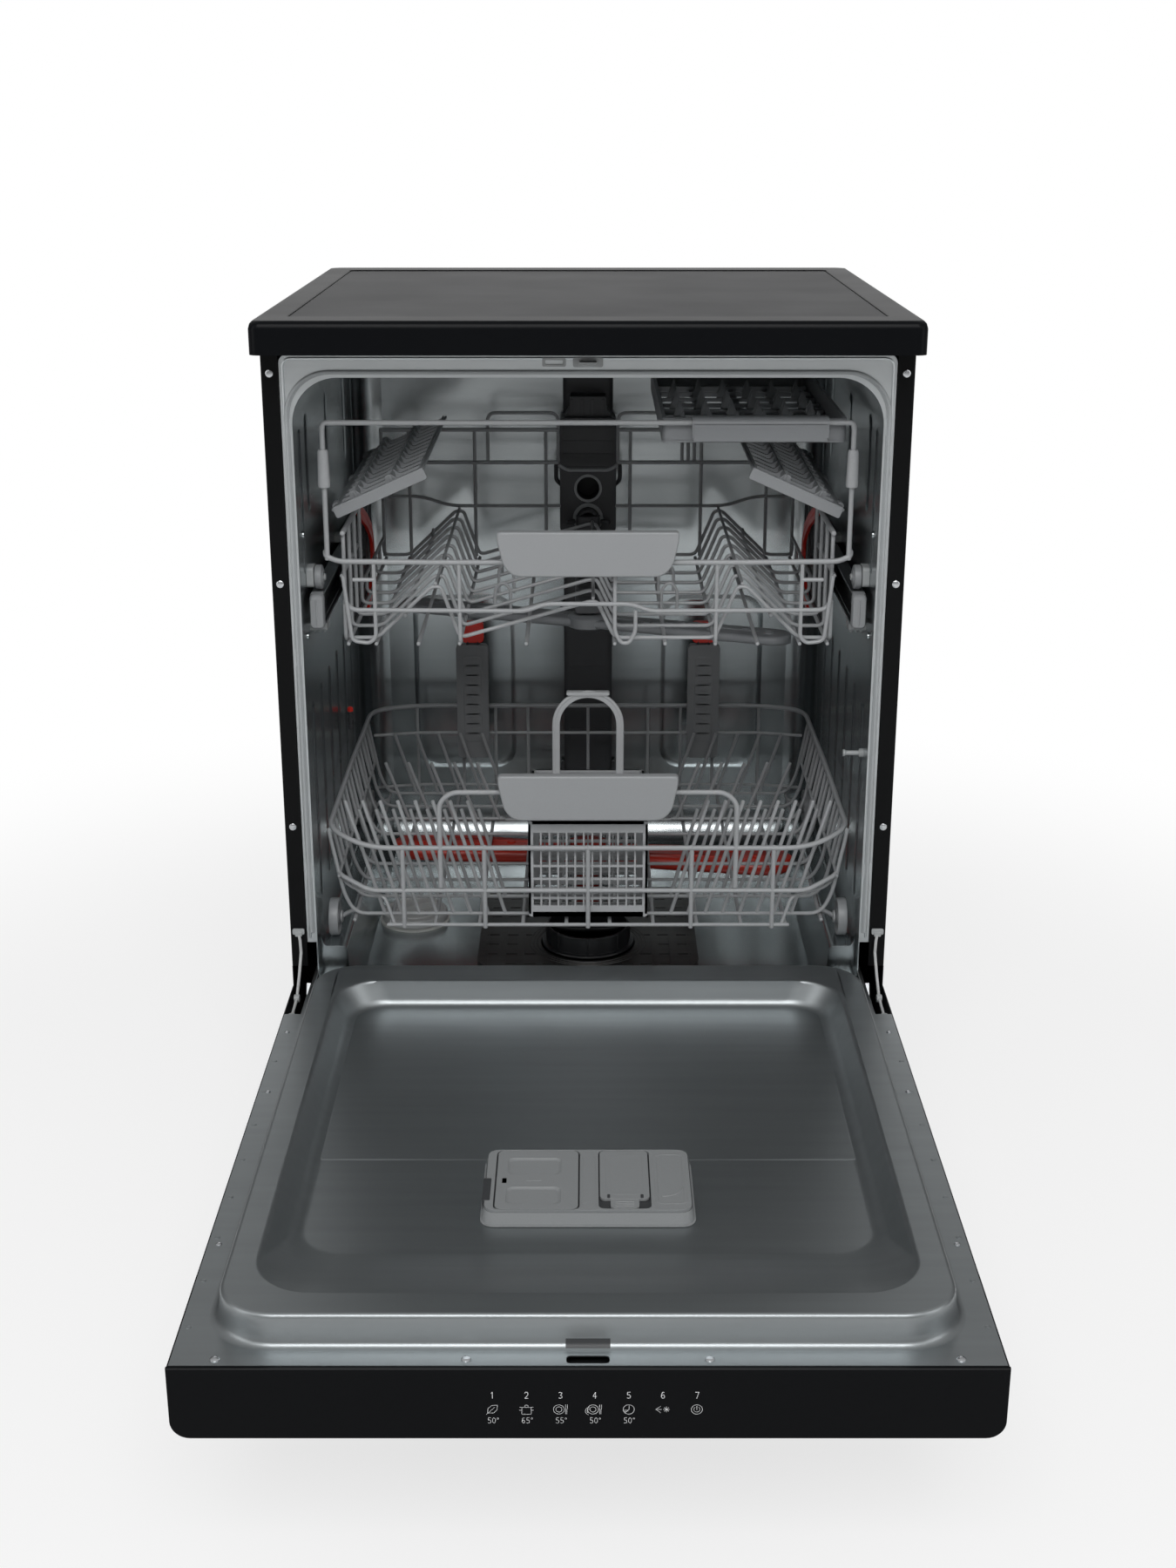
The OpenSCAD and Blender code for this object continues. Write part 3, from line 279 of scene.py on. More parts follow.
def finish(name, colour, rough, metal=0.0, effect=peel, scale=900.0, tone=(0.9, 1.06), bump=0.02,
           depth=0.00005, cloud_scale=9.0, clouds=0.05, coat=0.0, specular=0.5, aniso=0.0):
    """A procedural material: base colour, texture group, wandering roughness and a fine bump."""
    material = bpy.data.materials.new(name)
    material.use_nodes = True
    nodes, tree = material.node_tree.nodes, material.node_tree
    shader = nodes["Principled BSDF"]
    texture = nodes.new("ShaderNodeGroup")
    texture.node_tree = effect
    texture.inputs["Scale"].default_value = scale
    texture.inputs["Dark"].default_value = tone[0]
    texture.inputs["Light"].default_value = tone[1]
    tint = nodes.new("ShaderNodeVectorMath")
    tint.operation = "SCALE"
    tint.inputs[0].default_value = colour
    link(tree, texture.outputs["Tone"], tint.inputs["Scale"])
    link(tree, tint.outputs[0], shader.inputs["Base Color"])
    wander = nodes.new("ShaderNodeGroup")
    wander.node_tree = cloud
    wander.inputs["Scale"].default_value = cloud_scale
    wander.inputs["Low"].default_value = rough - clouds
    wander.inputs["High"].default_value = rough + clouds
    link(tree, wander.outputs["Value"], shader.inputs["Roughness"])
    relief = nodes.new("ShaderNodeBump")
    relief.inputs["Strength"].default_value = bump
    relief.inputs["Distance"].default_value = depth
    link(tree, texture.outputs["Height"], relief.inputs["Height"])
    link(tree, relief.outputs[0], shader.inputs["Normal"])
    shader.inputs["Metallic"].default_value = metal
    shader.inputs["Specular IOR Level"].default_value = specular
    shader.inputs["Coat Weight"].default_value = coat
    shader.inputs["Coat Roughness"].default_value = 0.12
    shader.inputs["Anisotropic"].default_value = aniso
    finishes[name] = material
    return material


# %% Steels
# Drawn or rolled metal: what differs is the tone, the grain's scale and how dull it is.
steel = dict(metal=1.0, effect=grain, bump=0.12, depth=0.0002, cloud_scale=5.0)
finish("tub_steel", (0.50, 0.535, 0.545), 0.23, scale=90, tone=(0.86, 1.08), **steel)
finish("liner_steel", (0.36, 0.384, 0.394), 0.40, scale=90, tone=(0.88, 1.06), **steel)
finish("ring_steel", (0.62, 0.65, 0.66), 0.42, scale=70, tone=(0.9, 1.05), **steel)
finish("rail_steel", (0.34, 0.36, 0.37), 0.33, scale=120, tone=(0.85, 1.06), **steel)
finish("zinc_steel", (0.55, 0.57, 0.58), 0.42, scale=160, tone=(0.85, 1.06), clouds=0.08, **steel)
finish("screw_steel", (0.68, 0.70, 0.72), 0.25, scale=260, tone=(0.85, 1.06), **steel)
finish("galvanised", (0.20, 0.21, 0.22), 0.52, scale=26, tone=(0.75, 1.15), clouds=0.1, **steel)
finish("filter_mesh", (0.15, 0.148, 0.145), 0.46, scale=160, tone=(0.7, 1.1), clouds=0.08, **steel)
print(len(finishes), "steel finishes")

# %% Plastics, paint and rubber
finish("worktop_laminate", (0.012, 0.013, 0.015), 0.42, tone=(0.75, 1.3), scale=1400, bump=0.25, specular=0.2)
finish("worktop_rim", (0.0025, 0.003, 0.004), 0.34, tone=(0.85, 1.15), scale=1200, bump=0.15, specular=0.1)
finish("black_enamel", (0.003, 0.0032, 0.0036), 0.34, tone=(0.9, 1.1), scale=700, bump=0.1, specular=0.12)
finish("fascia_gloss", (0.0018, 0.0022, 0.0030), 0.24, tone=(0.9, 1.1), scale=900, bump=0.03, specular=0.1)
finish("print_white", (0.78, 0.79, 0.80), 0.5, tone=(0.95, 1.02), scale=900, bump=0.03)
finish("window_tint", (0.010, 0.012, 0.016), 0.10, tone=(0.9, 1.1), scale=500, bump=0.01, coat=0.6)
finish("base_black", (0.012, 0.013, 0.014), 0.55, tone=(0.8, 1.2), scale=700, bump=0.3, specular=0.2)
finish("foot_black", (0.028, 0.029, 0.031), 0.5, tone=(0.8, 1.15), scale=700, bump=0.25)
finish("seal_rubber", (0.36, 0.38, 0.39), 0.62, tone=(0.88, 1.05), scale=600, bump=0.2, specular=0.3)
finish("fitting_grey", (0.36, 0.375, 0.38), 0.42, tone=(0.9, 1.05), bump=0.1)
finish("duct_black", (0.052, 0.054, 0.058), 0.45, tone=(0.8, 1.15), bump=0.2)
finish("socket_black", (0.008, 0.008, 0.009), 0.6, tone=(0.8, 1.15), bump=0.2)
finish("white_plastic", (0.60, 0.61, 0.59), 0.45, tone=(0.93, 1.03), bump=0.1)
finish("pump_grey", (0.085, 0.09, 0.1), 0.5, tone=(0.85, 1.1), bump=0.2)
finish("filter_black", (0.016, 0.017, 0.019), 0.35, tone=(0.8, 1.15), bump=0.12)
finish("cap_grey", (0.46, 0.47, 0.47), 0.38, tone=(0.9, 1.05), bump=0.1)
finish("roller_grey", (0.27, 0.28, 0.29), 0.38, tone=(0.88, 1.06), bump=0.1)
finish("arm_red", (0.40, 0.022, 0.010), 0.38, tone=(0.9, 1.06), bump=0.1)
finish("lever_red", (0.74, 0.022, 0.010), 0.36, tone=(0.92, 1.05), bump=0.08)
finish("arm_grey", (0.19, 0.20, 0.21), 0.42, tone=(0.9, 1.06), bump=0.1)
finish("board_green", (0.02, 0.12, 0.04), 0.4, tone=(0.8, 1.15), scale=300, bump=0.1)
finish("dispenser_grey", (0.235, 0.245, 0.25), 0.38, tone=(0.92, 1.05), bump=0.08)
finish("button_black", (0.010, 0.011, 0.013), 0.22, tone=(0.9, 1.1), bump=0.05, coat=0.4)
finish("cord_pale", (0.50, 0.51, 0.51), 0.6, tone=(0.75, 1.1), scale=420, bump=0.5)
finish("carriage_dark", (0.040, 0.042, 0.045), 0.45, tone=(0.85, 1.12), bump=0.15)
finish("wire_coating", (0.34, 0.35, 0.36), 0.36, tone=(0.9, 1.06), scale=500, bump=0.12, clouds=0.06)
finish("handle_grey", (0.31, 0.32, 0.33), 0.42, tone=(0.94, 1.04), bump=0.08)
finish("shelf_grey", (0.24, 0.25, 0.26), 0.42, tone=(0.92, 1.05), bump=0.08)
finish("tray_grey", (0.20, 0.21, 0.22), 0.42, tone=(0.92, 1.05), bump=0.08)
finish("lattice_grey", (0.38, 0.39, 0.40), 0.42, tone=(0.92, 1.05), bump=0.08)
finish("support_grey", (0.22, 0.228, 0.235), 0.42, tone=(0.9, 1.06), bump=0.1)
finish("wheel_grey", (0.27, 0.28, 0.29), 0.4, tone=(0.9, 1.06), bump=0.1)
print(len(finishes), "finishes")

# %% [markdown]
# ## A maker's tools
# Every piece is gathered in a Shape: boxes, sheets with holes, bent wires and turned parts.
# Real sheet and moulded plastic never end in a knife edge, so most pieces get a fine bevel.
# One call then turns the gathered faces into an object that rides on its body.

# %% Shape, the collector of faces
# AXES puts (across, up, along) into X, Y, Z; SPREAD says which of X, Y, Z are across, up and along.
AXES = {"x": (2, 0, 1), "y": (0, 2, 1), "z": (0, 1, 2)}
SPREAD = {"x": (1, 2, 0), "y": (0, 2, 1), "z": (0, 1, 2)}
SIDES = ((-1, "left"), (1, "right"))


def around(cx, cy, radius, start, end, steps):
    """Points on an arc, in degrees."""
    turn = [math.radians(start + (end - start) * i / steps) for i in range(steps + 1)]
    return [(cx + radius * math.cos(a), cy + radius * math.sin(a)) for a in turn]


def ring(cx, cy, radius, sides=32):
    """Points of a full circle."""
    return around(cx, cy, radius, 0, 360, sides)[:-1]


def rounded(x0, y0, x1, y1, radius, steps=5):
    """Outline of a rectangle with round corners."""
    r = max(0.01, min(radius, (x1 - x0) / 2 - 0.01, (y1 - y0) / 2 - 0.01))
    return (around(x1 - r, y0 + r, r, -90, 0, steps) + around(x1 - r, y1 - r, r, 0, 90, steps)
            + around(x0 + r, y1 - r, r, 90, 180, steps) + around(x0 + r, y0 + r, r, 180, 270, steps))


class Shape:
    """Points and faces in millimetres; each face remembers which finish it takes."""

    def __init__(self):
        self.points, self.faces, self.marks, self.mark = [], [], [], 0

    def add(self, points, faces):
        """Takes in points and faces; the faces count from the first new point."""
        first = len(self.points)
        self.points += [tuple(p) for p in points]
        self.faces += [[first + i for i in f] for f in faces]
        self.marks += [self.mark] * len(faces)
        return self

    def loft(self, rings, capped=True, closed=True):
        """Skins rings of equal length, one after the other."""
        n = len(rings[0])
        faces = []
        for k in range(len(rings) - 1):
            for i in range(n if closed else n - 1):
                j = (i + 1) % n
                faces.append([k * n + i, k * n + j, (k + 1) * n + j, (k + 1) * n + i])
        if capped:
            faces += [list(range(n))[::-1], [(len(rings) - 1) * n + i for i in range(n)]]
        return self.add([p for r in rings for p in r], faces)

    def slab(self, axis, low, high, outline, holes=()):
        """A flat outline with holes, made solid along an axis. x takes (y, z), y takes (x, z)."""
        a, b, c = AXES[axis]

        def put(p, w):
            q = (p[0], p[1], w)
            return (q[a], q[b], q[c])

        loops = [list(outline)] + [list(h) for h in holes]
        if not holes:
            return self.loft([[put(p, low) for p in outline], [put(p, high) for p in outline]])
        flat = [[Vector((p[0], p[1], 0)) for p in loop] for loop in loops]
        fill = tessellate_polygon(flat)
        every = [p for loop in loops for p in loop]
        n = len(every)
        points = [put(p, low) for p in every] + [put(p, high) for p in every]
        faces = [list(t) for t in fill] + [[n + i for i in reversed(t)] for t in fill]
        base = 0
        for loop in loops:
            m = len(loop)
            faces += [[base + i, base + (i + 1) % m, n + base + (i + 1) % m, n + base + i] for i in range(m)]
            base += m
        return self.add(points, faces)

    def box(self, a, b, radius=0.0, axis="z"):
        """A block between two corners; with a radius its edges along the axis are round."""
        lo = [min(p, q) for p, q in zip(a, b)]
        hi = [max(p, q) for p, q in zip(a, b)]
        u, v, w = SPREAD[axis]
        if radius:
            return self.slab(axis, lo[w], hi[w], rounded(lo[u], lo[v], hi[u], hi[v], radius))
        return self.slab(axis, lo[w], hi[w], [(lo[u], lo[v]), (hi[u], lo[v]), (hi[u], hi[v]), (lo[u], hi[v])])

    def tube(self, path, thick, sides=10, bend=None, dome=True, loop=False):
        """A round wire through points, with round bends and domed ends."""
        pts = [Vector(p) for p in path]
        reach = bend if bend is not None else thick * 1.6
        line = []
        count = len(pts)
        for i, p in enumerate(pts):
            if not loop and i in (0, count - 1):
                line.append(p)
                continue
            before, after = pts[i - 1] - p, pts[(i + 1) % count] - p
            cut = min(reach, before.length * 0.48, after.length * 0.48)
            if cut < 0.05 or before.angle(after) > 3.1:
                line.append(p)
                continue
            a, b = p + before.normalized() * cut, p + after.normalized() * cut
            for t in (0, 0.2, 0.4, 0.6, 0.8, 1.0):
                line.append(a * (1 - t) ** 2 + p * 2 * t * (1 - t) + b * t * t)
        clean = [line[0]]
        for p in line[1:]:
            if (p - clean[-1]).length > 0.02:
                clean.append(p)
        line = clean
        m = len(line)
        heads = []
        for i in range(m):
            prev = line[i - 1] if (i or loop) else line[i]
            nxt = line[(i + 1) % m] if (i < m - 1 or loop) else line[i]
            heads.append((nxt - prev).normalized())
        side = heads[0].orthogonal().normalized()
        turns = [k * math.tau / sides for k in range(sides)]
        rings = []
        for i in range(m):
            if i:
                side = heads[i - 1].rotation_difference(heads[i]) @ side
            up = heads[i].cross(side)
            r = thick / 2
            here = [line[i] + (side * math.cos(t) + up * math.sin(t)) * r for t in turns]
            if dome and not loop and i == 0:
                for f, back in ((0.45, 0.46), (0.85, 0.28)):
                    rings.append([line[i] + (q - line[i]) * f - heads[i] * r * back for q in here])
            rings.append(here)
            if dome and not loop and i == m - 1:
                for f, fore in ((0.85, 0.28), (0.45, 0.46)):
                    rings.append([line[i] + (q - line[i]) * f + heads[i] * r * fore for q in here])
        if loop:
            rings.append(rings[0])
            return self.loft(rings, capped=False)
        return self.loft(rings)

    def turned(self, axis, centre, profile, sides=36):
        """A turned part: profile is (radius, height) pairs about an axis through centre."""
        a, b, c = AXES[axis]
        rings = []
        for radius, height in profile:
            loop = []
            for k in range(sides):
                t = k * math.tau / sides
                q = (max(radius, 0.01) * math.cos(t), max(radius, 0.01) * math.sin(t), height)
                loop.append((centre[0] + q[a], centre[1] + q[b], centre[2] + q[c]))
            rings.append(loop)
        return self.loft(rings)

    def paint(self, mark):
        """Faces added from here on take another of the piece's finishes."""
        self.mark = mark
        return self

    def turn(self, matrix, first=0):
        """Moves every point from number first by a matrix."""
        for i in range(first, len(self.points)):
            self.points[i] = tuple(matrix @ Vector(self.points[i]))
        return self

    def mirrored(self, first_point=0, first_face=0):
        """Adds the mirror image across the middle plane, of all or from two numbers on."""
        shift = len(self.points) - first_point
        self.points += [(-x, y, z) for x, y, z in self.points[first_point:]]
        self.faces += [[i + shift for i in reversed(f)] for f in self.faces[first_face:]]
        self.marks += self.marks[first_face:]
        return self


print("tools ready")

# %% Turning a Shape into a piece
made = {}


def make(name, shape, like, finish_names, bevel=0.5, steps=2, sharp=38, stands_for=None, body=None):
    """Builds the mesh, gives it its finishes and fixes it to the body of the solid it is like."""
    data = bpy.data.meshes.new(name)
    data.from_pydata([(x / 1000, y / 1000, z / 1000) for x, y, z in shape.points], [], shape.faces)
    names = [finish_names] if isinstance(finish_names, str) else list(finish_names)
    for f in names:
        data.materials.append(finishes[f])
    data.polygons.foreach_set("material_index", shape.marks)
    work = bmesh.new()
    work.from_mesh(data)
    bmesh.ops.remove_doubles(work, verts=work.verts, dist=0.000004)
    bmesh.ops.recalc_face_normals(work, faces=work.faces)
    work.to_mesh(data)
    work.free()
    data.shade_smooth()
    data.set_sharp_from_angle(angle=math.radians(sharp))
    piece = bpy.data.objects.new(name, data)
    scene.collection.objects.link(piece)
    if bevel:
        edge = piece.modifiers.new("soft edge", "BEVEL")
        edge.width = bevel / 1000
        edge.segments = steps
        edge.limit_method = "ANGLE"
        edge.angle_limit = math.radians(sharp + 4)
    flat = piece.modifiers.new("flat faces", "WEIGHTED_NORMAL")
    flat.keep_sharp = True
    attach(piece, body or frame["nodes"][like]["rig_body"])
    for node in ([like] if stands_for is None else stands_for):
        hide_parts(node)
    made[name] = piece
    return piece


def dress(node, finish_name):
    """Keeps the solid of a hidden or simple part and gives it a finish."""
    solid = frame["nodes"][node]
    solid.data.materials.clear()
    solid.data.materials.append(finishes[finish_name])


print("piece maker ready")

# %% [markdown]
# ## Worktop
# A laminated chipboard sits in a moulded rim. The rim is rounded on top and drips off below.
# The board is a thin slab with a fine shadow gap around it, so both read as separate pieces.

# %% Worktop board and rim
board = Shape().box((-269.7, 40.3, 832), (269.7, 549.7, 849), 2)
make("worktop_board", board, "worktop_board", "worktop_laminate", bevel=0.6)

rim = Shape()
levels = [(0.0, 820.4), (0.0, 843.0), (1.2, 847.2), (3.6, 849.6), (7.0, 850.0)]
outer = [[(x, y, z) for x, y in rounded(-300 + i, i, 300 - i, 590 - i, 9, 6)] for i, z in levels]
inner = [[(x, y, z) for x, y in rounded(-270 + i, 40 - i, 270 - i, 550 + i, 6, 6)]
         for i, z in ((-1.4, 850.0), (-0.4, 849.4), (0, 848.0), (0, 831.6))]
sill = [[(x, y, z) for x, y in rounded(-260, 50, 260, 540, 4, 6)] for z in (831.6, 820.4)]
rim.loft(outer + inner + sill + [outer[0]], capped=False)
for x in (-215, -75, 75, 215):
    rim.box((x - 18, 12, 820), (x + 18, 34, 822.5), 3)
make("worktop_rim", rim, "worktop_frame", "worktop_rim", bevel=0)
print("worktop pieces:", len(made))

# %% [markdown]
# ## Painted sheets
# The side panels are single sheets with their front and back edges folded in by 16 mm.
# A long shallow pressing stiffens each side; below 205 mm only the back edge is folded.
# The kick plate is a moulded strip with a step along its top, held by two tongues.

# %% Side panels
for side, word in SIDES:
    panel_sheet = Shape()
    mirror = Matrix.Scale(side, 4, Vector((1, 0, 0)))
    section = [(299.4, 62.0), (299.4, 576.4)] + around(297.8, 576.4, 1.6, 0, 90, 4)[1:] + [
        (283.4, 578.0), (283.4, 576.8), (297.6, 576.8), (298.2, 576.2), (298.2, 62.2), (297.6, 61.6),
        (283.4, 61.6), (283.4, 60.4), (297.8, 60.4)] + around(297.8, 62.0, 1.6, -90, 0, 4)[1:-1]
    panel_sheet.loft([[(x, y, z) for x, y in section] for z in (205, 819.8)])
    lower = [(299.4, 60.4), (299.4, 577.8), (283.4, 578.0), (283.4, 576.8), (298.2, 576.6), (298.2, 60.4)]
    panel_sheet.loft([[(x, y, z) for x, y in lower] for z in (26.2, 205)])
    press = [rounded(110 + i, 240 + i, 528 - i, 780 - i, 24, 6) for i in (0, 1.2, 2.4)]
    panel_sheet.loft([[(x, y, z) for y, z in press[k]] for k, x in enumerate((298.3, 297.4, 297.2))])
    for y in (96, 544):
        for z in (150, 420, 690):
            panel_sheet.turned("x", (299.0, y, z), [(2.2, -1.4), (2.2, 0.2), (1.6, 0.38), (0, 0.4)], 14)
    panel_sheet.turn(mirror)
    make("side_panel_" + word, panel_sheet, "side_panel_" + word, "black_enamel", bevel=0.3)

# %% Back sheet with its raised loops and air slots
back = Shape()
slots = [rounded(-200 + i * 14, 700, -194 + i * 14, 760, 2.9, 4) for i in range(10)]
low_slots = [rounded(120 + i * 14, 190, 126 + i * 14, 250, 2.9, 4) for i in range(6)]
back.slab("y", 575.3, 576.5, rounded(-297.6, 112, 297.6, 819.6, 3), slots + low_slots)
for x in (-120, 120):
    frame_line = rounded(x - 70, 300, x + 70, 640, 20, 6)
    back.tube([(px, 576.3, pz) for px, pz in frame_line], 2.2, 8, loop=True)
make("back_panel", back, "back_panel", "galvanised", bevel=0.3)

# %% Kick plate
kick = Shape()
kick_section = [(57.0, 14.6), (57.4, 14.2), (59.4, 14.2), (59.4, 111.4), (59.0, 112), (57.6, 112),
                (57.0, 111), (57.0, 104), (57.9, 103), (57.9, 24), (57.0, 23)]
kick.slab("x", -296, 296, kick_section)
for s in (-1, 1):
    kick.box((s * 250, 59, 40), (s * 262, 61.6, 60), 1.5)
    kick.turned("y", (s * 240, 58.9, 90), [(4, -1.6), (4, -1.0), (3, -0.8), (2.8, 0.3)], 20)
make("kick_plate", kick, "kick_plate", "base_black", bevel=0.5)
print("cabinet pieces:", len(made))

# %% [markdown]
# ## Base, feet and hinges
# The base is one moulded tray with ribs; it carries the pump, the softener and the hinge brackets.
# The feet are screwed into it, with a hexagon for the spanner and a fine thread above.

# %% Base tray and feet
FOOT_PLACES = [(x, y) for x in (-262, 262) for y in (105, 530)]
tray = Shape()
edge_x, front_edge, back_edge = 296.7, 62.0, 574.0
outline = rounded(-edge_x, front_edge, edge_x, back_edge, 6)
stems = [ring(x, y, 5.6, 20) for x, y in FOOT_PLACES]
tray.slab("z", 22, 25, outline, stems)
walls = rounded(-edge_x + 3, front_edge + 3, edge_x - 3, back_edge - 3, 4)
tray.slab("z", 25, 70, outline, [walls])
tray.slab("y", 571, 574, rounded(-edge_x, 69.9, edge_x, 108, 6),
          [rounded(-240, 84, -210, 100, 4)])
for x, y in FOOT_PLACES:
    tray.slab("z", 25, 56, ring(x, y, 16, 28), [ring(x, y, 5.6, 20)])
for x in range(-200, 201, 50):
    tray.box((x - 1.2, 66, 25), (x + 1.2, 110, 40))
    tray.box((x - 1.2, 520, 25), (x + 1.2, 570, 44))
make("base_tray", tray, "base_tray", "base_black", bevel=0.6)

feet = Shape()
thread = [(4.9 if k % 2 else 4.3, k * 1.1) for k in range(40)]
for x, y in FOOT_PLACES:
    feet.turned("z", (x, y, 0), [(0, 0), (17.5, 0), (19.6, 1.2), (20, 3), (19.4, 6.4), (12, 8), (0, 8)], 32)
    feet.turned("z", (x, y, 8), [(10, 0), (10, 8.6), (9, 9.2), (0, 9.2)], 6)
    feet.turned("z", (x, y, 16.5), [(0, 0)] + thread + [(0, 43.4)], 18)
make("feet", feet, "feet", "foot_black", bevel=0)

# %% Hinge brackets and arms
HINGE = (48.5, 179.5)
brackets = Shape()
x0 = 276.5
loop = around(*HINGE, 11, 90, 270, 10) + [(112, 168.5), (112, 25.2), (150, 25.2), (150, 190.5)]
brackets.slab("x", x0, x0 + 3, loop, [ring(*HINGE, 4.06, 20), rounded(122, 60, 140, 90, 8),
                                      rounded(122, 110, 140, 150, 8)])
brackets.box((x0 - 15, 130, 25.1), (x0 + 3, 150, 28), 1.5)
brackets.mirrored()
make("hinge_brackets", brackets, "hinge_brackets", "zinc_steel", bevel=0.3)

arms = Shape()
x0 = 280.2
hook = around(*HINGE, 11, -90, 90, 10)[:-1] + [(46, 179.4), (-110, 179.4), (-112, 177), (-112, 155),
                                               (-110, 152.6), (40, 152.6), (45, 160)]
arms.slab("x", x0, x0 + 4, hook, [rounded(-96, 160, -70, 168, 3.9), rounded(-50, 160, -24, 168, 3.9)])
arms.turned("x", (x0 - 5, *HINGE), [(3.6, 0), (4, 0.5), (4, 5.9), (0, 6)], 24)
for y in (-100, -12):
    arms.turned("x", (x0 + 3.6, y, 172), [(3.4, 0), (3.4, 0.9), (2.4, 1.3), (0, 1.3)], 18)
arms.mirrored()
make("hinge_arms", arms, "hinge_arms", "zinc_steel", bevel=0.3)
print("pieces so far:", len(made))

# %% [markdown]
# ## The steel tub
# A bent sheet forms both walls and the ceiling; the floor and the back are welded in.
# The corners are round so that water runs off. Ledges at the sides carry the rack's wheels.
# The outline is drawn once and swept backwards; past 524 mm the plan's corner draws it inwards.

# %% Tub outline
# Middle points, seen from above, of what stands on the tub's floor.
FILTER, SALT, ARM_HUB = (0, 240), (-197, 310), (0, 314)
# The ledges are notched in front of this depth, because the closed door's liner reaches in there.
NOTCH_END = 86


def softened(points, radii, steps=5):
    """Rounds the corners of an open run of points."""
    run = []
    for i, p in enumerate(points):
        r = radii[i] if isinstance(radii, (list, tuple)) else radii
        if i in (0, len(points) - 1) or r <= 0:
            run.append(p)
            continue
        here, a, b = Vector(p), Vector(points[i - 1]), Vector(points[i + 1])
        da, db = (a - here), (b - here)
        cut = min(r, da.length * 0.48, db.length * 0.48)
        pa, pb = here + da.normalized() * cut, here + db.normalized() * cut
        for k in range(steps + 1):
            t = k / steps
            q = pa * (1 - t) ** 2 + here * 2 * t * (1 - t) + pb * t * t
            run.append((q.x, q.y))
    return run


def tub_half(grow, notched=False):
    """Right half of the outline seen from in front, from the ceiling down to the floor."""
    arc = around(227, 754, 46 + grow, 90, 0, 14)
    ledge = (184 if notched else 215.4) - grow
    side = [(273 + grow, ledge + 11.1), (269.6 + (3.4 if notched else 0) + grow, ledge), (247 + grow, ledge),
            (243 + grow, 165), (238.3 + grow / 2, 150 - grow)]
    return arc + softened([(273 + grow, 300)] + side, [0, 6, 4, 5, 10, 0])


def inwards(x, y, grow):
    """How far the round rear corner lets the wall reach at depth y."""
    d = max(0.0, y - 524)
    reach = 241 + math.sqrt(max(0.0, (32 + grow) ** 2 - d * d))
    return max(-reach, min(reach, x))


depths = [64, 67, 85.4, 86.6, 120, 300, 480, 524, 532, 539, 545, 550, 553.5, 555.4, 556]
tub = Shape()
for half_sign in (1, -1):
    strip = []
    for y in depths:
        inner_run = [(half_sign * inwards(x, y, 0), y, z) for x, z in tub_half(0, y < NOTCH_END)]
        outer_run = [(half_sign * inwards(x, y, 1.2), y, z) for x, z in tub_half(1.2, y < NOTCH_END)]
        strip.append(inner_run + outer_run[::-1])
    tub.loft(strip)
tub.box((-227.2, 64.2, 800), (227.2, 556, 801.1))

# %% Tub floor, back wall and rim
floor_holes = [ring(*FILTER, 58.6, 48), ring(*SALT, 35.6, 40), ring(*ARM_HUB, 7.8, 24)]
tub.slab("z", 148.8, 150, [(-238.6, 64), (238.6, 64), (238.6, 556), (-238.6, 556)], floor_holes)
dish = [ring(*FILTER, r, 48) for r in (74, 70, 67)]
tub.loft([[(x, y, z) for x, y in loop] for loop, z in zip(dish, (150.0, 150.5, 150.5))], capped=False)
half_back = [(min(x, 241), z) for x, z in tub_half(0)]
whole_back = half_back + [(-x, z) for x, z in half_back[::-1]]
distinct = []
for p in whole_back:
    if not distinct or (Vector(p) - Vector(distinct[-1])).length > 0.05:
        distinct.append(p)
tub.slab("y", 555.9, 557.1, distinct)
cove = [(514 + 42 * math.sin(math.radians(a)), 196 - 46 * math.cos(math.radians(a))) for a in range(0, 91, 9)]
cove_back = [(y + 0.2, z - 0.9) for y, z in cove[::-1]]
tub.slab("x", -236, 236, [(min(y, 556), z) for y, z in cove + cove_back])
tub.box((-238, 64.2, 150.4), (238, 66.8, 163.4), 1.0, "y")

tub.paint(1)
mouth = around(230, 750, 43, 90, 0, 12)
mouth_run = [(-273, 230.4)] + [(-x, z) for x, z in mouth[::-1]] + mouth + [(273, 230.4)]
rim_run = [(283, 230.4)] + around(275, 806, 8, 0, 90, 6) + around(-275, 806, 8, 90, 180, 6) + [(-283, 230.4)]
tub.slab("y", 62.4, 64.0, mouth_run + rim_run)
lip = [(279.6, 62.3, 236)] + [(x, 62.3, z) for x, z in around(272, 803, 7.6, 0, 90, 5)]
tub.tube(lip + [(-x, y, z) for x, y, z in lip[::-1]], 2.4, 8)
for s in (-1, 1):
    for z in (300, 520, 740):
        tub.box((s * 274.6, 61.2, z), (s * 281.5, 62.6, z + 16), 1.5, "y")
        tub.turned("y", (s * 278, 60.9, z - 14), [(2.8, 1.6), (2.8, 0.7), (2.0, 0.1), (0, 0)], 18)

# %% Pressings in the walls: upright beads, ovals and the rails' fixing dimples
tub.paint(0)


def bead(y, z0, z1, wide=14.0, deep=1.6):
    """A long round-ended pressing that stands into the tub from the right wall."""
    loops = []
    for k in (0.0, 0.35, 0.7, 0.92, 1.0):
        inset = wide / 2 * (1 - math.cos(k * math.pi / 2)) * 0.9
        loops.append([(273.2 - deep * math.sin(k * math.pi / 2) - 0.15, py, pz) for py, pz in
                      rounded(y - wide / 2 + inset, z0 + inset, y + wide / 2 - inset, z1 - inset, wide, 7)])
    tub.loft(loops)


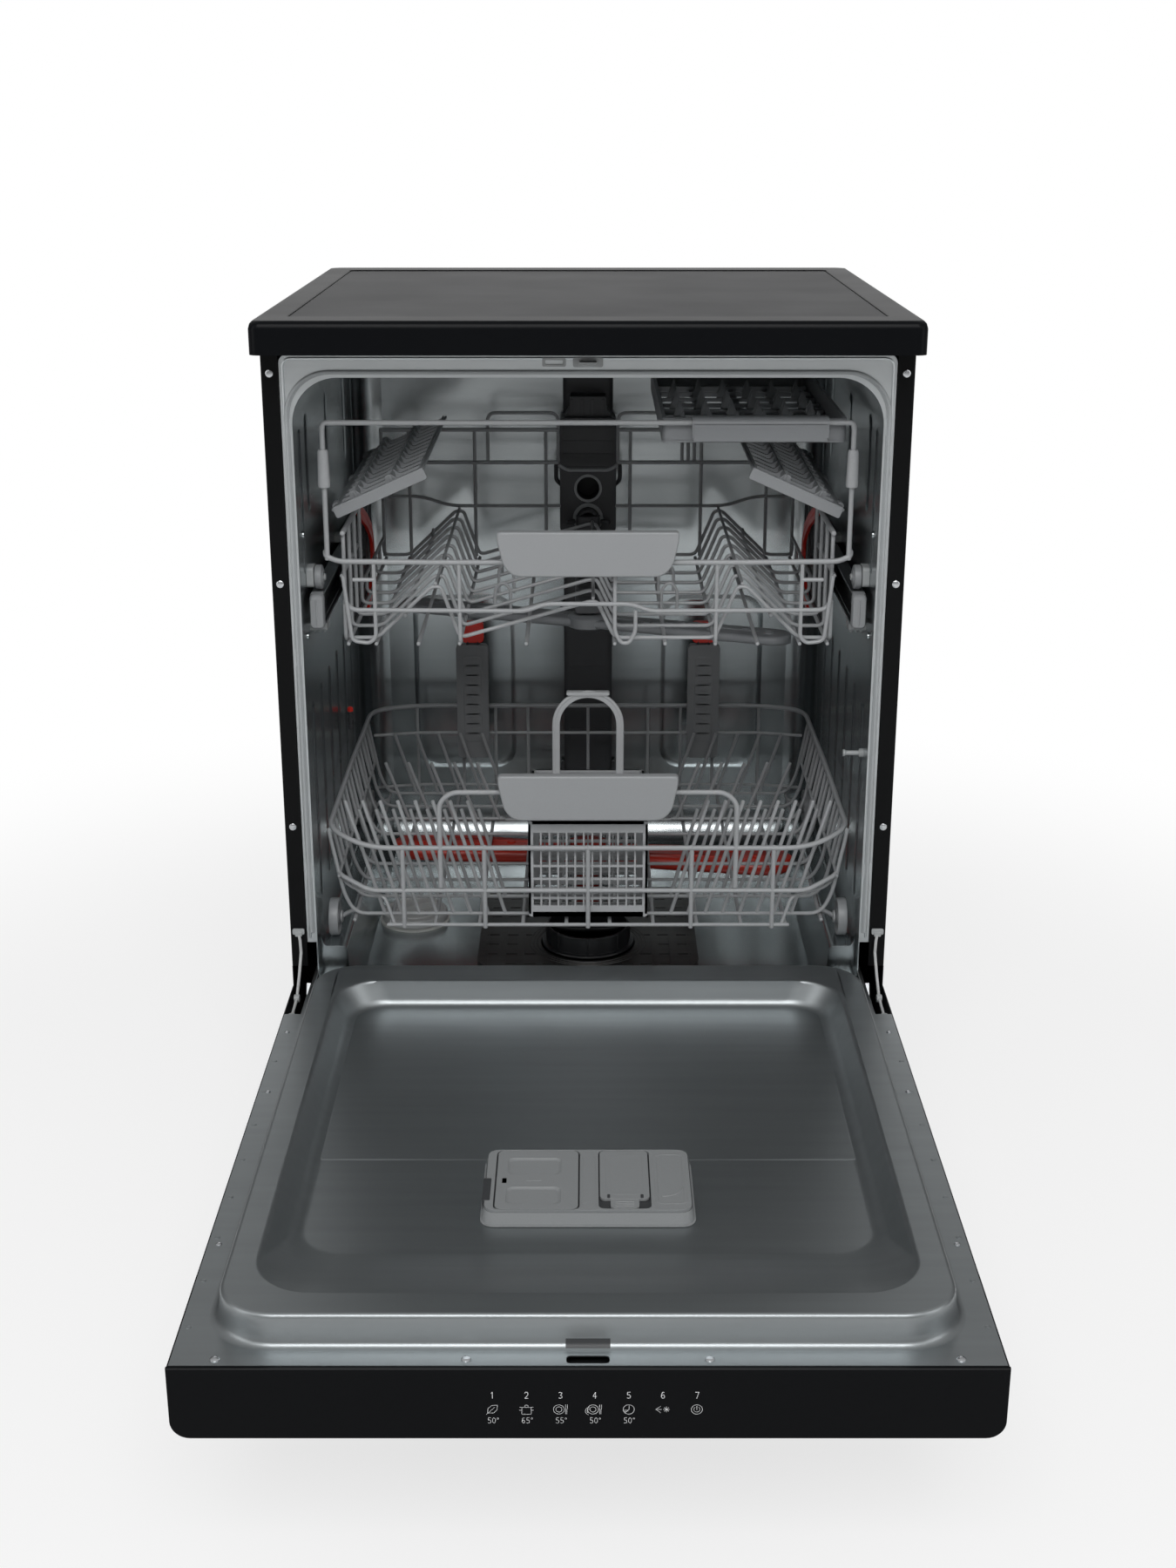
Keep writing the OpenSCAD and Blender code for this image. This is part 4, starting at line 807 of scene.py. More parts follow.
wall_from, face_from = len(tub.points), len(tub.faces)
for y in (112, 176, 240, 304, 368, 432, 496):
    bead(y, 262, 470, 12, 1.4)
for y in (150, 300, 450):
    bead(y, 652, 748, 20, 1.5)
for y in (102, 520):
    bead(y, 600, 740, 10, 1.3)
bead(470, 500, 534, 26, 1.3)
for y, z in ((96, 540), (96, 640), (505, 560), (505, 250)):
    tub.turned("x", (272.9, y, z), [(3.6, 0), (3.4, -1.2), (2.2, -1.9), (0, -2.0)], 20)
tub.mirrored(wall_from, face_from)
for x in (-150, 150):
    loops = []
    for k in (0.0, 0.5, 1.0):
        loops.append([(px, 556.0 - 1.5 * math.sin(k * math.pi / 2), pz) for px, pz in
                      rounded(x - 62 + 7 * k, 250 + 7 * k, x + 62 - 7 * k, 470 - 7 * k, 26, 7)])
    tub.loft(loops)
make("tub", tub, "tub", ["tub_steel", "ring_steel"], bevel=0.25, sharp=42)
print("tub with", len(tub.faces), "faces")

# %% [markdown]
# ## Door seal
# An extruded rubber profile pushed over the tub's rim: a bulb with a thinner lip inside it.
# Both are slim enough for the closed door's liner to pass.

# %% Seal
seal = Shape()
path = [(-278, 242)] + [(-x, z) for x, z in around(238, 758, 40, 0, 90, 10)]
path = path + [(-x, z) for x, z in path[::-1]]
seal.tube([(x, 61.3, z) for x, z in path], 3.9, 10, bend=2)
seal.tube([(x * 0.9935, 61.6, z - 1.0) for x, z in path], 2.0, 8, bend=2)
make("door_seal", seal, "door_seal", "seal_rubber", bevel=0)

# %% [markdown]
# ## Fittings on the walls
# Moulded shoes guide the upper rack's rails and an axle at the front carries its roller.
# On the rim sit the latch hook for the closed door and a small framed plate beside it.

# %% Shoes, axles and hook
ROLLER = (115, 594.6)
fittings = Shape()
fittings.turned("x", (255.2, *ROLLER), [(3.0, 0), (3.4, 0.5), (3.4, 17.6), (6.5, 17.7), (6.5, 18.6)], 24)
for y in (115, 325):
    fittings.box((256.2, y, 540.2), (273, y + 22, 548.3), 2, "x")
    for k in range(3):
        fittings.box((258 + k * 5, y + 2, 538.6), (259.4 + k * 5, y + 20, 540.4))
fittings.box((256.2, 325, 582.7), (273, 347, 590.8), 2, "x")
fittings.box((266, 104, 586), (272.8, 126, 606), 4, "x")
fittings.mirrored()
fittings.turned("z", (*ARM_HUB, 150), [(9, 0), (9, 20), (8.2, 22.8), (0, 22.8)], 28)
fittings.turned("z", (*ARM_HUB, 150), [(14, 0.1), (14, 1.6), (11, 2.6), (9, 2.6)], 28)
fittings.slab("y", 60.9, 62.3, rounded(-13.8, 802.6, 13.8, 811.4, 2), [rounded(-5, 805, 5, 809, 1)])
hook = [(62.3, 805.6), (52.5, 805.6), (50.2, 806.4), (50.2, 808.3), (62.3, 808.3)]
fittings.slab("x", -7.8, 7.8, hook)
fittings.slab("y", 60.9, 62.3, rounded(-41.8, 803.1, -20.2, 810.9, 1.5), [rounded(-39, 805, -23, 809, 0.8)])
fittings.turned("x", (262, 94, 421), [(4.4, 11), (4.4, 7), (2.4, 6.4), (2.4, -6), (3.4, -7), (3.4, -9),
                                      (0, -9)], 18)
fittings.paint(1)
fittings.turned("z", (-264, 330, 372), [(3.4, 0), (3.4, 4), (2.6, 4.4), (2.6, 8), (3.4, 8.4), (3.4, 12.4),
                                       (2.6, 12.8), (2.6, 16.4), (3.4, 16.8), (3.4, 20), (0, 20)], 18)
fittings.paint(2)
fittings.turned("z", (-264, 330, 392), [(3.2, 0), (3.2, 3.6), (2.0, 5), (0, 5)], 18)
make("tub_fittings", fittings, "tub_fittings", ["fitting_grey", "carriage_dark", "lever_red"],
     bevel=0.35)

# %% [markdown]
# ## Spray duct and docking block
# The duct brings water up the back wall. At the upper rack's height it widens into a ribbed block.
# Its two sockets take the rack's feed tube in the rack's lower and higher setting.

# %% Duct
DOCKS = (573, 608)
duct = Shape()
section = [(-29, 555.8), (-29, 549), (-22, 544.4), (22, 544.4), (29, 549), (29, 555.8)]
duct.loft([[(x * k, y, z) for x, y in section] for z, k in ((162, 0.94), (166, 1), (790, 1), (795, 0.9))])
block = rounded(-32.6, 557, 32.6, 689, 5)
sockets = [ring(0, z, 13.0, 36) for z in DOCKS]
duct.slab("y", 506, 536, block, sockets)
duct.slab("y", 536, 546, block)
taper = [[(x * k, y, z) for x, y in ((-22, 514), (22, 514), (22, 545), (-22, 545))]
         for z, k in ((688, 1.25), (698, 1.0), (710, 0.96), (712, 0.9))]
duct.loft(taper)
for k in range(4):
    duct.box((-20 + k * 12 - 1, 512.6, 690), (-20 + k * 12 + 3, 515, 709), 1, "y")
for z in (630, 645, 660, 675):
    duct.box((-29, 505.1, z), (29, 506.6, z + 3), 1.2, "y")
for s in (-1, 1):
    duct.tube([(s * 30, 520, 640), (s * 37, 514, 636), (s * 37, 514, 616), (s * 31, 518, 610)], 5, 10)
    for z in (240, 440):
        duct.box((s * 29, 543, z), (s * 33, 549, z + 22), 1.5, "y")
for z in (220, 300, 380, 460):
    duct.box((-23, 542.6, z), (23, 545, z + 4), 1.5, "y")
duct.paint(1)
for z, r in zip(DOCKS, (17.5, 16.2)):
    duct.slab("y", 504.9, 507, ring(0, z, r, 40), [ring(0, z, 13.1, 36)])
duct.paint(2)
for z in DOCKS:
    duct.turned("y", (0, 533, z), [(12.9, 0), (12.9, 2.6), (0, 2.6)], 32)
make("spray_duct", duct, "spray_duct", ["duct_black", "fitting_grey", "socket_black"],
     bevel=0.4)
print("pieces so far:", len(made))

# %% [markdown]
# ## Filter, salt cap and lower spray arm
# A fine perforated plate covers the sump. The cup drops through it and locks with a turn.
# The salt container's cap has raised rings and a grip bar across it.

# %% Filter plate
plate = Shape()
slots = []
for i in range(11):
    for j in range(9):
        x, y = -105 + i * 21, 180 + j * 26
        clear = math.hypot(x, y - FILTER[1]) > 64 and math.hypot(x, y - ARM_HUB[1]) > 24
        if clear and not (i in (0, 10) and j in (0, 8)):
            slots.append(rounded(x - 7, y - 1.2, x + 7, y + 1.2, 1.1, 2))
skirt = rounded(-119.8, 168.2, 119.8, 399.8, 26, 8)
plate.slab("z", 152.0, 153.2, skirt, [ring(*FILTER, 52, 48), ring(*ARM_HUB, 15, 28)] + slots)
plate.slab("z", 150.1, 152.6, skirt, [rounded(-117, 171, 117, 397, 24, 8)])
for x in range(-110, 111, 20):
    if abs(x) > 60:
        plate.box((x - 0.9, 178, 153), (x + 0.9, 390, 153.8))
for r in (56, 60, 64):
    plate.turned("z", (*FILTER, 153.0), [(r - 0.9, 0), (r - 0.5, 0.6), (r + 0.5, 0.6), (r + 0.9, 0)], 56)
make("filter_plate", plate, "filter_plate", "filter_mesh", bevel=0)

# %% Filter cup
cup = Shape()
cup.turned("z", (*FILTER, 0), [(0, 72), (44, 72), (46, 74), (46, 154), (50.6, 154.2), (51, 155.6),
                               (50.4, 157), (46, 157.4), (46, 174.6), (45, 176), (43, 176), (42, 174.6),
                               (42, 76), (0, 76)], 56)
for k in range(8):
    a = math.radians(k * 45)
    x, y = 44 * math.cos(a), 240 + 44 * math.sin(a)
    cup.tube([(x, y, 158), (x, y, 175)], 5, 8)
cup.tube([(-40, 240, 172), (-20, 240, 168), (20, 240, 168), (40, 240, 172)], 6, 10)
for z in (90, 104, 118, 132):
    cup.turned("z", (*FILTER, z), [(46, 0), (46.7, 0.8), (46.7, 2.2), (46, 3)], 48)
make("filter_cup", cup, "filter_cup", "filter_black", bevel=0.3)

# %% Salt cap
cap = Shape()
cap.turned("z", (*SALT, 0), [(0, 120.4), (29, 120.4), (30, 122), (30, 152), (36, 152.6), (37, 154),
                             (37, 160.6), (35.6, 162.4), (33, 162.6), (32, 161.4), (27, 161.4), (26, 162.6),
                             (24.4, 162.6), (23.4, 161.6), (12, 161.6), (11, 162.4), (0, 162.4)], 64)
grip = Shape().box((-27.6, -5.4, 161.8), (27.6, 5.4, 169.8), 3)
grip.turn(Matrix.Translation((*SALT, 0)) @ Matrix.Rotation(math.radians(30), 4, "Z"))
cap.add(grip.points, grip.faces)
for k in range(24):
    a = k * math.tau / 24
    x, y = SALT[0] + 36.2 * math.cos(a), SALT[1] + 36.2 * math.sin(a)
    cap.tube([(x, y, 154.6), (x, y, 160)], 1.6, 6)
make("salt_cap", cap, "salt_cap", "cap_grey", bevel=0.4)

# %% Spray blades
def blade(shape, reach, hub, tip, tall, z0=0.0, flip=False):
    """Half of a spray arm along +X: wide at the tip, with a round end and soft long edges."""
    stops = [0, 30, 60, reach * 0.45, reach * 0.7, reach - tip] + \
        [reach - tip / 2 + tip / 2 * math.sin(math.radians(a)) for a in (0, 20, 40, 55, 68, 78, 85)]
    rings = []
    for x in stops:
        wide = hub + (tip - hub) * min(1, x / (reach - tip))
        over = x - (reach - tip / 2)
        if over > 0:
            wide = 2 * math.sqrt(max(1.0, (tip / 2) ** 2 - over * over))
        low = rounded(-wide / 2, z0, wide / 2, z0 + tall, min(tall * 0.42, wide * 0.3), 4)
        rings.append([(-x if flip else x, y, z) for y, z in low])
    shape.loft(rings)


def jets(shape, reach, top, spots, flip=1):
    """Small raised nozzles along the arm, each with a hollow in its middle."""
    for f, off in spots:
        x = flip * reach * f
        shape.turned("z", (x, off, top), [(5.4, -0.6), (5.0, 1.0), (3.8, 1.5), (3.2, 0.8), (0, 0.8)], 18)


lower_arm = Shape()
blade(lower_arm, 229, 40, 58, 15)
blade(lower_arm, 221, 40, 58, 15, flip=True)
lower_arm.turned("z", (0, 0, 0), [(33, 0.4), (34, 2), (34, 15), (31, 17.6), (20, 17.9), (18, 16), (10, 16),
                                  (8, 17.6), (0, 17.6)], 44)
lower_arm.turned("z", (0, 0, 0), [(9.4, -65), (13, -64), (13, 0.6)], 28)
for s in (-1, 1):
    jets(lower_arm, 221, 15, ((0.24, -6), (0.4, 7), (0.56, -8), (0.72, 10), (0.86, -6), (0.93, 14)), s)
    for off in (-12, 12):
        lower_arm.tube([(s * 36, off * 0.8, 14.6), (s * 150, off, 14.6), (s * 196, off * 1.5, 14.6)], 2.6, 8)
lower_arm.turn(Matrix.Translation((*ARM_HUB, 221)) @ Matrix.Rotation(math.radians(-7), 4, "Z"))
make("lower_spray_arm", lower_arm, "lower_spray_arm", "arm_red", bevel=0.4)

# %% [markdown]
# ## What hides below the floor
# The sump, softener, pump and valves are closed shapes that only show from below or behind.

# %% Parts below the tub
VALVE, SPIGOT = (-225, 70), (225, 64)
dress("sump", "base_black")
dress("softener", "white_plastic")
dress("circulation_pump", "pump_grey")
dress("water_intake", "white_plastic")
dress("control_board", "board_green")

valve = Shape()
valve.slab("y", 577, 588.9, ring(*VALVE, 13.1, 36), [ring(*VALVE, 9, 28)])
valve.slab("y", 559.4, 577, ring(*VALVE, 12.2, 36), [ring(*VALVE, 9, 28)])
for k in range(5):
    valve.slab("y", 578.4 + k * 2.0, 579.2 + k * 2.0, ring(*VALVE, 13.18, 36), [ring(*VALVE, 12.6, 28)])
valve.box((-244.8, 524.2, 50.2), (-205.2, 563.8, 99.8), 4)
valve.box((-240, 528, 99), (-210, 560, 99.9), 3)
make("inlet_valve", valve, "inlet_valve", "white_plastic", bevel=0.3)

spigot = Shape()
spigot.slab("y", 575, 588.9, ring(*SPIGOT, 9.95, 36), [ring(*SPIGOT, 7.5, 28)])
spigot.slab("y", 549.2, 575, ring(*SPIGOT, 9.2, 36), [ring(*SPIGOT, 7.5, 28)])
spigot.slab("y", 566.9, 570.6, ring(*SPIGOT, 15.8, 40), [ring(*SPIGOT, 7.6, 28)])
make("drain_spigot", spigot, "drain_spigot", "foot_black", bevel=0.3)

screws = Shape()


def screw(shape, axis, at, radius, tall, way):
    """A plain pan head; way is +1 or -1 along the axis."""
    shape.turned(axis, at, [(radius, 0), (radius, way * tall * 0.45), (radius * 0.8, way * tall * 0.85),
                            (radius * 0.4, way * tall), (0, way * tall)], 22)


for x in (-291.5, 291.5):
    for z in (355, 600, 797):
        screw(screws, "y", (x, 60.4, z), 3.5, 1.0, -1)
for x in (-291, 291):
    for z in (140, 460, 790):
        screw(screws, "y", (x, 578, z), 3.5, 1.7, 1)
make("cabinet_screws", screws, "cabinet_screws", "screw_steel", bevel=0)

rollers = Shape()
rollers.turned("x", (257.1, *ROLLER), [(3.6, 0), (7, 0), (8, 1.2), (11, 1.2), (11.9, 2.2), (11.9, 7),
                                       (11, 8.2), (8, 8.2), (7, 8.9), (3.6, 8.9), (3.6, 0)], 40)
rollers.mirrored()
make("rail_rollers", rollers, "rail_rollers", "roller_grey", bevel=0)
print("pieces so far:", len(made))

# %% [markdown]
# ## The lowered door
# Outside is a folded black skin, inside a pressed steel liner, and between them the controls.
# With the door down its outer face looks at the floor, so the skin is mostly seen from the side.

# %% Outer skin
skin = Shape()
section = [(-298, 188.2), (-298, 133)] + around(-296, 133, 2, 180, 270, 4)[1:] + \
    around(296, 133, 2, -90, 0, 4) + \
    [(298, 188.2), (296.8, 188.2), (296.8, 134), (295.8, 132.2),
     (-295.8, 132.2), (-296.8, 134), (-296.8, 188.2)]
skin.slab("y", -469.6, 50, section)
skin.slab("z", 131, 132.2, [(-296.4, 49), (296.4, 49), (296.4, 88), (294, 90), (-294, 90), (-296.4, 88)])
skin.box((-292, -466, 131.3), (292, -464, 131.9))
make("door_skin", skin, "door_outer_skin", "black_enamel", bevel=0.35)

# %% [markdown]
# ## Liner
# One pressing: a flat border, a steep wall up to a round-edged plateau, and long slopes down to
# the basin's floor. Water that drips off the plates runs back along it into the tub.

# %% Pressed liner
def grown(rect, by):
    """A rounded rectangle (x0, y0, x1, y1, radius), larger by so much on every side."""
    x0, y0, x1, y1, r = rect
    return rounded(x0 - by, y0 - by, x1 + by, y1 + by, max(1.0, r + by), 10)


plateau = (-270, -562, 270, 42, 44)
brink = (-246, -532, 246, 4.8, 45)
basin = (-231, -449, 231, -2, 40)


def between(t):
    """The rectangle at a share of the way from the plateau's brink down to the basin."""
    return tuple(a + (b - a) * t for a, b in zip(brink, basin))


top = []
for by, z in ((9.0, 190.0), (5.6, 190.5), (3.2, 191.8), (1.8, 194), (0.9, 199), (0.3, 207), (0.0, 211.4),
              (-0.7, 213.6), (-2.2, 214.8), (-4.0, 215.0)):
    top.append([(x, y, z) for x, y in grown(plateau, by)])
for by, z in ((3.0, 215.0), (1.2, 214.8), (-0.6, 214.0)):
    top.append([(x, y, z) for x, y in grown(brink, by)])
for t in (0.12, 0.3, 0.5, 0.7, 0.86):
    top.append([(x, y, 215 - 25 * t) for x, y in grown(between(t), 0)])
top.append([(x, y, 190.7) for x, y in grown(basin, -2.5)])
top.append([(x, y, 190.0) for x, y in grown(basin, -8)])
under = [[(x, y, z - 1.1) for x, y, z in loop] for loop in top]
liner = Shape()
liner.loft(top, capped=False)
liner.loft(under, capped=False)
m = len(top[0])
liner.add(top[-1], [list(range(m))])
liner.add(under[-1], [list(range(m))])
foot = [(x, y) for x, y in grown(plateau, 9.0)]
slot = rounded(-15.4, -583.5, 15.4, -574.5, 3, 4)
border = [(-296.4, -586.2), (296.4, -586.2), (296.4, -20), (280, -20), (280, 51), (-280, 51), (-280, -20),
          (-296.4, -20)]
liner.slab("z", 188.9, 190.0, border, [foot, slot])
step = [(-226, -301), (226, -301), (226, -20), (206, -8), (-206, -8), (-226, -20)]
liner.loft([[(x, y, 190.0) for x, y in step],
            [(x * 0.994, y + (2.2 if y < -200 else -1.5), 190.8) for x, y in step]])
for s in (-1, 1):
    for x0, x1, lift in ((247.5, 249.0, 0.45), (252.5, 253.4, 0.35), (267.2, 268.4, 0.4)):
        liner.loft([[(s * x0, -344, 214.7), (s * x1, -344, 214.7), (s * x1, 30, 214.7), (s * x0, 30, 214.7)],
                    [(s * (x0 + .3), -338, 215 + lift - .45), (s * (x1 - .3), -338, 215 + lift - .45),
                     (s * (x1 - .3), 24, 215 + lift - .45), (s * (x0 + .3), 24, 215 + lift - .45)]])
    for y in range(-540, -60, 60):
        liner.turned("z", (s * 291, y, 190), [(2.4, -0.2), (2.2, 0.3), (1.2, 0.5), (0, 0.5)], 14)
# A thin dark patch on the plateau's near wall, behind the latch's slot.
liner.paint(1)
liner.slab("x", -16, 16, [(-567.1, 190.75), (-565.35, 191.9), (-563.95, 194), (-563, 198), (-562.6, 198),
                          (-563.6, 194), (-565, 191.8), (-566.8, 190.6)])
make("door_liner", liner, "door_liner", ["liner_steel", "carriage_dark"], bevel=0.2, sharp=50)
print("liner faces:", len(liner.faces))

# %% [markdown]
# ## Control strip
# The moulding wraps the door's free end. Its end face is printed with programme numbers,
# its front carries three buttons, the window and the recessed grip.
# Numbers are drawn as thin strokes, so the print is real and needs no lettering font.

# %% Control fascia
KEYS = (("power_button", -200), ("program_button", -100), ("start_button", 200))
KEY_Y = -542
# The middle of a printed line lies just inside the end face, so it stands out by 0.1 mm or so.
PRINT_Y = -589.69
recess = rounded(-92, -506, 92, -480, 8)
recess_wall = rounded(-94.5, -508.5, 94.5, -477.5, 9)
fascia = Shape()
end_face = [(-298, 189.8)] + around(-284, 145, 14, 180, 270, 8) + \
    around(284, 145, 14, -90, 0, 8) + [(298, 189.8)]
inset = [(x * 0.9955, z + (1.2 if z < 160 else -0.6)) for x, z in end_face]
fascia.loft([[(x, -589.85, z) for x, z in inset], [(x, -589.2, z) for x, z in end_face],
             [(x, -587.0, z) for x, z in end_face]])
for s in (-1, 1):
    run = [(s * 298, 188.2)] + [(s * x, z) for x, z in around(284, 145, 14, 0, -90, 8)]
    inner_corner = [(s * x, z) for x, z in around(284, 145, 11, -90, 0, 8)]
    core = [(s * 283.9, 134.0)] + inner_corner + [(s * 295, 188.2)]
    fascia.slab("y", -588, -470, run + core)
keyholes = [ring(x, KEY_Y, 8.9, 32) for _, x in KEYS]
fascia.slab("z", 131, 134, rounded(-284, -589, 284, -470, 1),
            keyholes + [rounded(-80, -550, 90, -534, 1.5), recess])
fascia.slab("z", 134, 157, recess_wall, [recess])
fascia.slab("z", 154.4, 157, recess_wall)
fascia.box((-296, -588, 186), (296, -586.6, 188), 0.6, "y")

PEN = {"0": [(.5, 1), (.15, .8), (.1, .5), (.15, .2), (.5, 0), (.85, .2), (.9, .5), (.85, .8), (.5, 1)],
       "1": [(.25, .78), (.55, 1), (.55, 0)],
       "2": [(.1, .8), (.3, 1), (.7, 1), (.9, .8), (.85, .55), (.1, 0), (.9, 0)],
       "3": [(.1, .9), (.4, 1), (.8, .9), (.82, .68), (.45, .53), (.88, .36), (.85, .1), (.4, 0), (.1, .1)],
       "4": [(.7, 0), (.7, 1), (.08, .3), (.95, .3)],
       "5": [(.85, 1), (.2, 1), (.15, .55), (.6, .6), (.9, .38), (.8, .08), (.4, 0), (.1, .1)],
       "6": [(.8, .95), (.4, 1), (.12, .6), (.1, .25), (.4, 0), (.8, .08), (.9, .35), (.65, .57), (.3, .55),
             (.1, .3)],
       "7": [(.05, 1), (.95, 1), (.4, 0)]}


def write(shape, signs, x, z, tall, thick, y=PRINT_Y):
    """Strokes on the end face, centred on x, with their foot at z."""
    wide = tall * 0.56
    start = x - (len(signs) * wide * 1.25 - wide * 0.25) / 2
    for k, sign in enumerate(signs):
        x0 = start + k * wide * 1.25
        if sign == "o":
            dot = ring(x0 + wide * 0.3, z + tall * 0.86, tall * 0.13, 10)
            shape.tube([(px, y, pz) for px, pz in dot], thick * 0.9, 6, loop=True)
        else:
            shape.tube([(x0 + px * wide, y, z + pz * tall) for px, pz in PEN[sign]], thick, 6, bend=0.3)


fascia.paint(1)


def stroke(x, *runs, loop=False):
    """Printed lines of a sign; each run lists (across, up) from the sign's centre."""
    for run in runs:
        fascia.tube([(x + px, PRINT_Y, 156 + pz) for px, pz in run], 0.46, 6, bend=0.5, loop=loop)


for k, heat in enumerate(["50o", "65o", "55o", "50o", "50o", "", ""]):
    x = -67.8 + k * 24.17
    write(fascia, str(k + 1), x, 165.3, 5.2, 0.6)
    write(fascia, heat, x + 1, 144.4, 4.6, 0.48)
    if k == 0:
        stroke(x, [(-3.4, -3), (-3.2, 0.6), (-0.6, 3.2), (3.6, 3.6), (3.2, -0.4), (0.8, -3)], loop=True)
        stroke(x, [(-4.4, -4.2), (1.6, 1.8)])
    elif k == 1:
        stroke(x, [(-3.2, 1.8), (-3.4, -4), (3.4, -4), (3.2, 1.8)], [(-4.8, 1.8), (4.8, 1.8)],
               [(-1.2, 2), (-1, 3.6), (1, 3.6), (1.2, 2)], [(-5, -0.6), (-3.4, -0.6)],
               [(3.4, -0.6), (5, -0.6)])
    elif k in (2, 3):
        stroke(x, ring(-1.2, 0, 3.9, 22), ring(-1.2, 0, 2.2, 18), loop=True)
        stroke(x, [(3.6, 4), (3.6, -4)], [(4.9, 4), (4.9, 0.6), (4.5, 0), (4.5, -4)])
        if k == 3:
            stroke(x, around(-3.2, -1.4, 3.4, 100, 250, 8), around(-3.2, -1.4, 2.1, 100, 230, 7))
    elif k == 4:
        stroke(x, ring(0, 0, 4, 24), loop=True)
        stroke(x, [(0.3, 3.4), (0.3, 0), (-2.4, -2.8)], [(-3.6, -0.6), (-0.6, -0.6)],
               [(-3.4, -1.7), (-1.6, -1.7)])
    elif k == 5:
        stroke(x, [(-5, 0), (-1.4, 2.8)], [(-4.6, 0), (-1, 0)], [(-5, 0), (-1.4, -2.8)])
        for turn in (0, 45, 90, 135):
            cx, cz = 2.3 * math.cos(math.radians(turn)), 2.3 * math.sin(math.radians(turn))
            stroke(x, [(2.6 - cx, -cz), (2.6 + cx, cz)])
    else:
        stroke(x, ring(0, 0, 4, 24), loop=True)
        stroke(x, around(0, 0, 2.2, 125, 415, 12), [(0, 3), (0, -0.6)])
make("control_fascia", fascia, "control_fascia", ["fascia_gloss", "print_white"], bevel=0.5)

# %% Window and buttons
window = Shape().box((-79.7, -549.7, 131), (89.7, -534.3, 133), 1.4)
make("display_window", window, "display_window", "window_tint", bevel=0.3)
for name, x in KEYS:
    key = Shape()
    key.turned("z", (x, KEY_Y, 129.4), [(0, 0.9), (4.5, 0.5), (6.8, 0.1), (7.8, 0.1), (8.5, 0.9), (8.5, 5),
                                        (10, 5), (10, 7), (8.5, 7), (8.5, 9.9), (0, 9.9)], 40)
    key.tube([(px, py, 129.9) for px, py in ring(x, KEY_Y, 3.2, 20)], 0.5, 6, loop=True)
    make(name, key, name, "button_black", bevel=0.15)

# %% [markdown]
# ## Dispenser
# The tablet chamber has a sprung lid with two hollows. Beside it a flap closes the rinse aid.

# %% Dispenser
disp = Shape()
chamber, filler = rounded(-56, -386, -14, -324, 5), ring(30, -350, 14, 32)
chamber_wall, filler_wall = rounded(-58, -388, -12, -322, 6), ring(30, -350, 16, 32)
shell = [(rounded(-85, -405, 85, -303, 11, 8), 190.3), (rounded(-84.6, -403.6, 84.6, -303.4, 11, 8), 194),
         (rounded(-83.4, -400.6, 83.4, -304.4, 10, 8), 200.2)]
disp.loft([[(x, y, z) for x, y in loop] for loop, z in shell], capped=False)
# The deck under the lid and flap takes the dark finish as painted shade, so the gaps around them read dark.
disp.paint(1)
disp.slab("z", 199.4, 200.2, shell[2][0], [chamber, filler])
disp.paint(0)
disp.slab("z", 200.2, 202.7, rounded(-82.8, -400.4, 82.8, -305.4, 9, 8),
          [rounded(-75.7, -400, -6.7, -306.6, 6), rounded(8.5, -398.3, 50.6, -306.6, 5)])
for wall, hollow in ((chamber_wall, chamber), (filler_wall, filler)):
    disp.slab("z", 170, 199.4, wall, [hollow])
    disp.slab("z", 168.6, 170.4, wall)
disp.slab("z", 190.3, 191.4, rounded(-86, -406, 86, -302, 11, 8), [rounded(-80, -398, 80, -308, 9, 8)])
field = [[(x, y, z) for x, y in rounded(54 + i, -392 + i, 80 - i, -312 - i, 6)] for i, z in
         ((0, 202.6), (0.6, 203), (2.4, 203), (3.2, 202.2))]
disp.loft(field)
disp.tube([(60 + 16 * math.sin(a / 57.3), -366 - 14 * math.cos(a / 57.3), 202.5) for a in range(0, 91, 10)],
          1.6, 8)
wedge = around(0, -400, 12, 20, 160, 8)
disp.slab("z", 200.2, 202.9, [(x * 0.5 + 1, y) for x, y in wedge] + [(-4, -316), (6, -316)])
disp.paint(1)
disp.box((-84.9, -386, 194), (-78.6, -352, 202.9), 1)
make("dispenser_body", disp, "dispenser_body", ["dispenser_grey", "carriage_dark"],
     bevel=0.5)

lid = Shape()
face = rounded(-74.4, -399.4, -8, -307.6, 6, 6)
lid.slab("z", 200.5, 201.6, face)
lid.slab("z", 201.6, 203, face, [rounded(-66, -392, -22, -366, 5, 6), rounded(-66, -346, -22, -320, 5, 6)])
for y0 in (-392, -346):
    loops = [[(x, y, z) for x, y in rounded(-66 + i, y0 + i, -22 - i, y0 + 26 - i, 5, 6)]
             for i, z in ((0, 202.9), (0.9, 202.0), (2.4, 201.66))]
    lid.loft(loops, capped=False)
lid.tube([(-50, -356, 202.7), (-38, -356, 202.7)], 1.2, 8)
lid.paint(1)
lid.box((-70, -360, 202.4), (-66, -352, 203), 0.8)
make("detergent_lid", lid, "detergent_lid", ["dispenser_grey", "carriage_dark"], bevel=0.4)

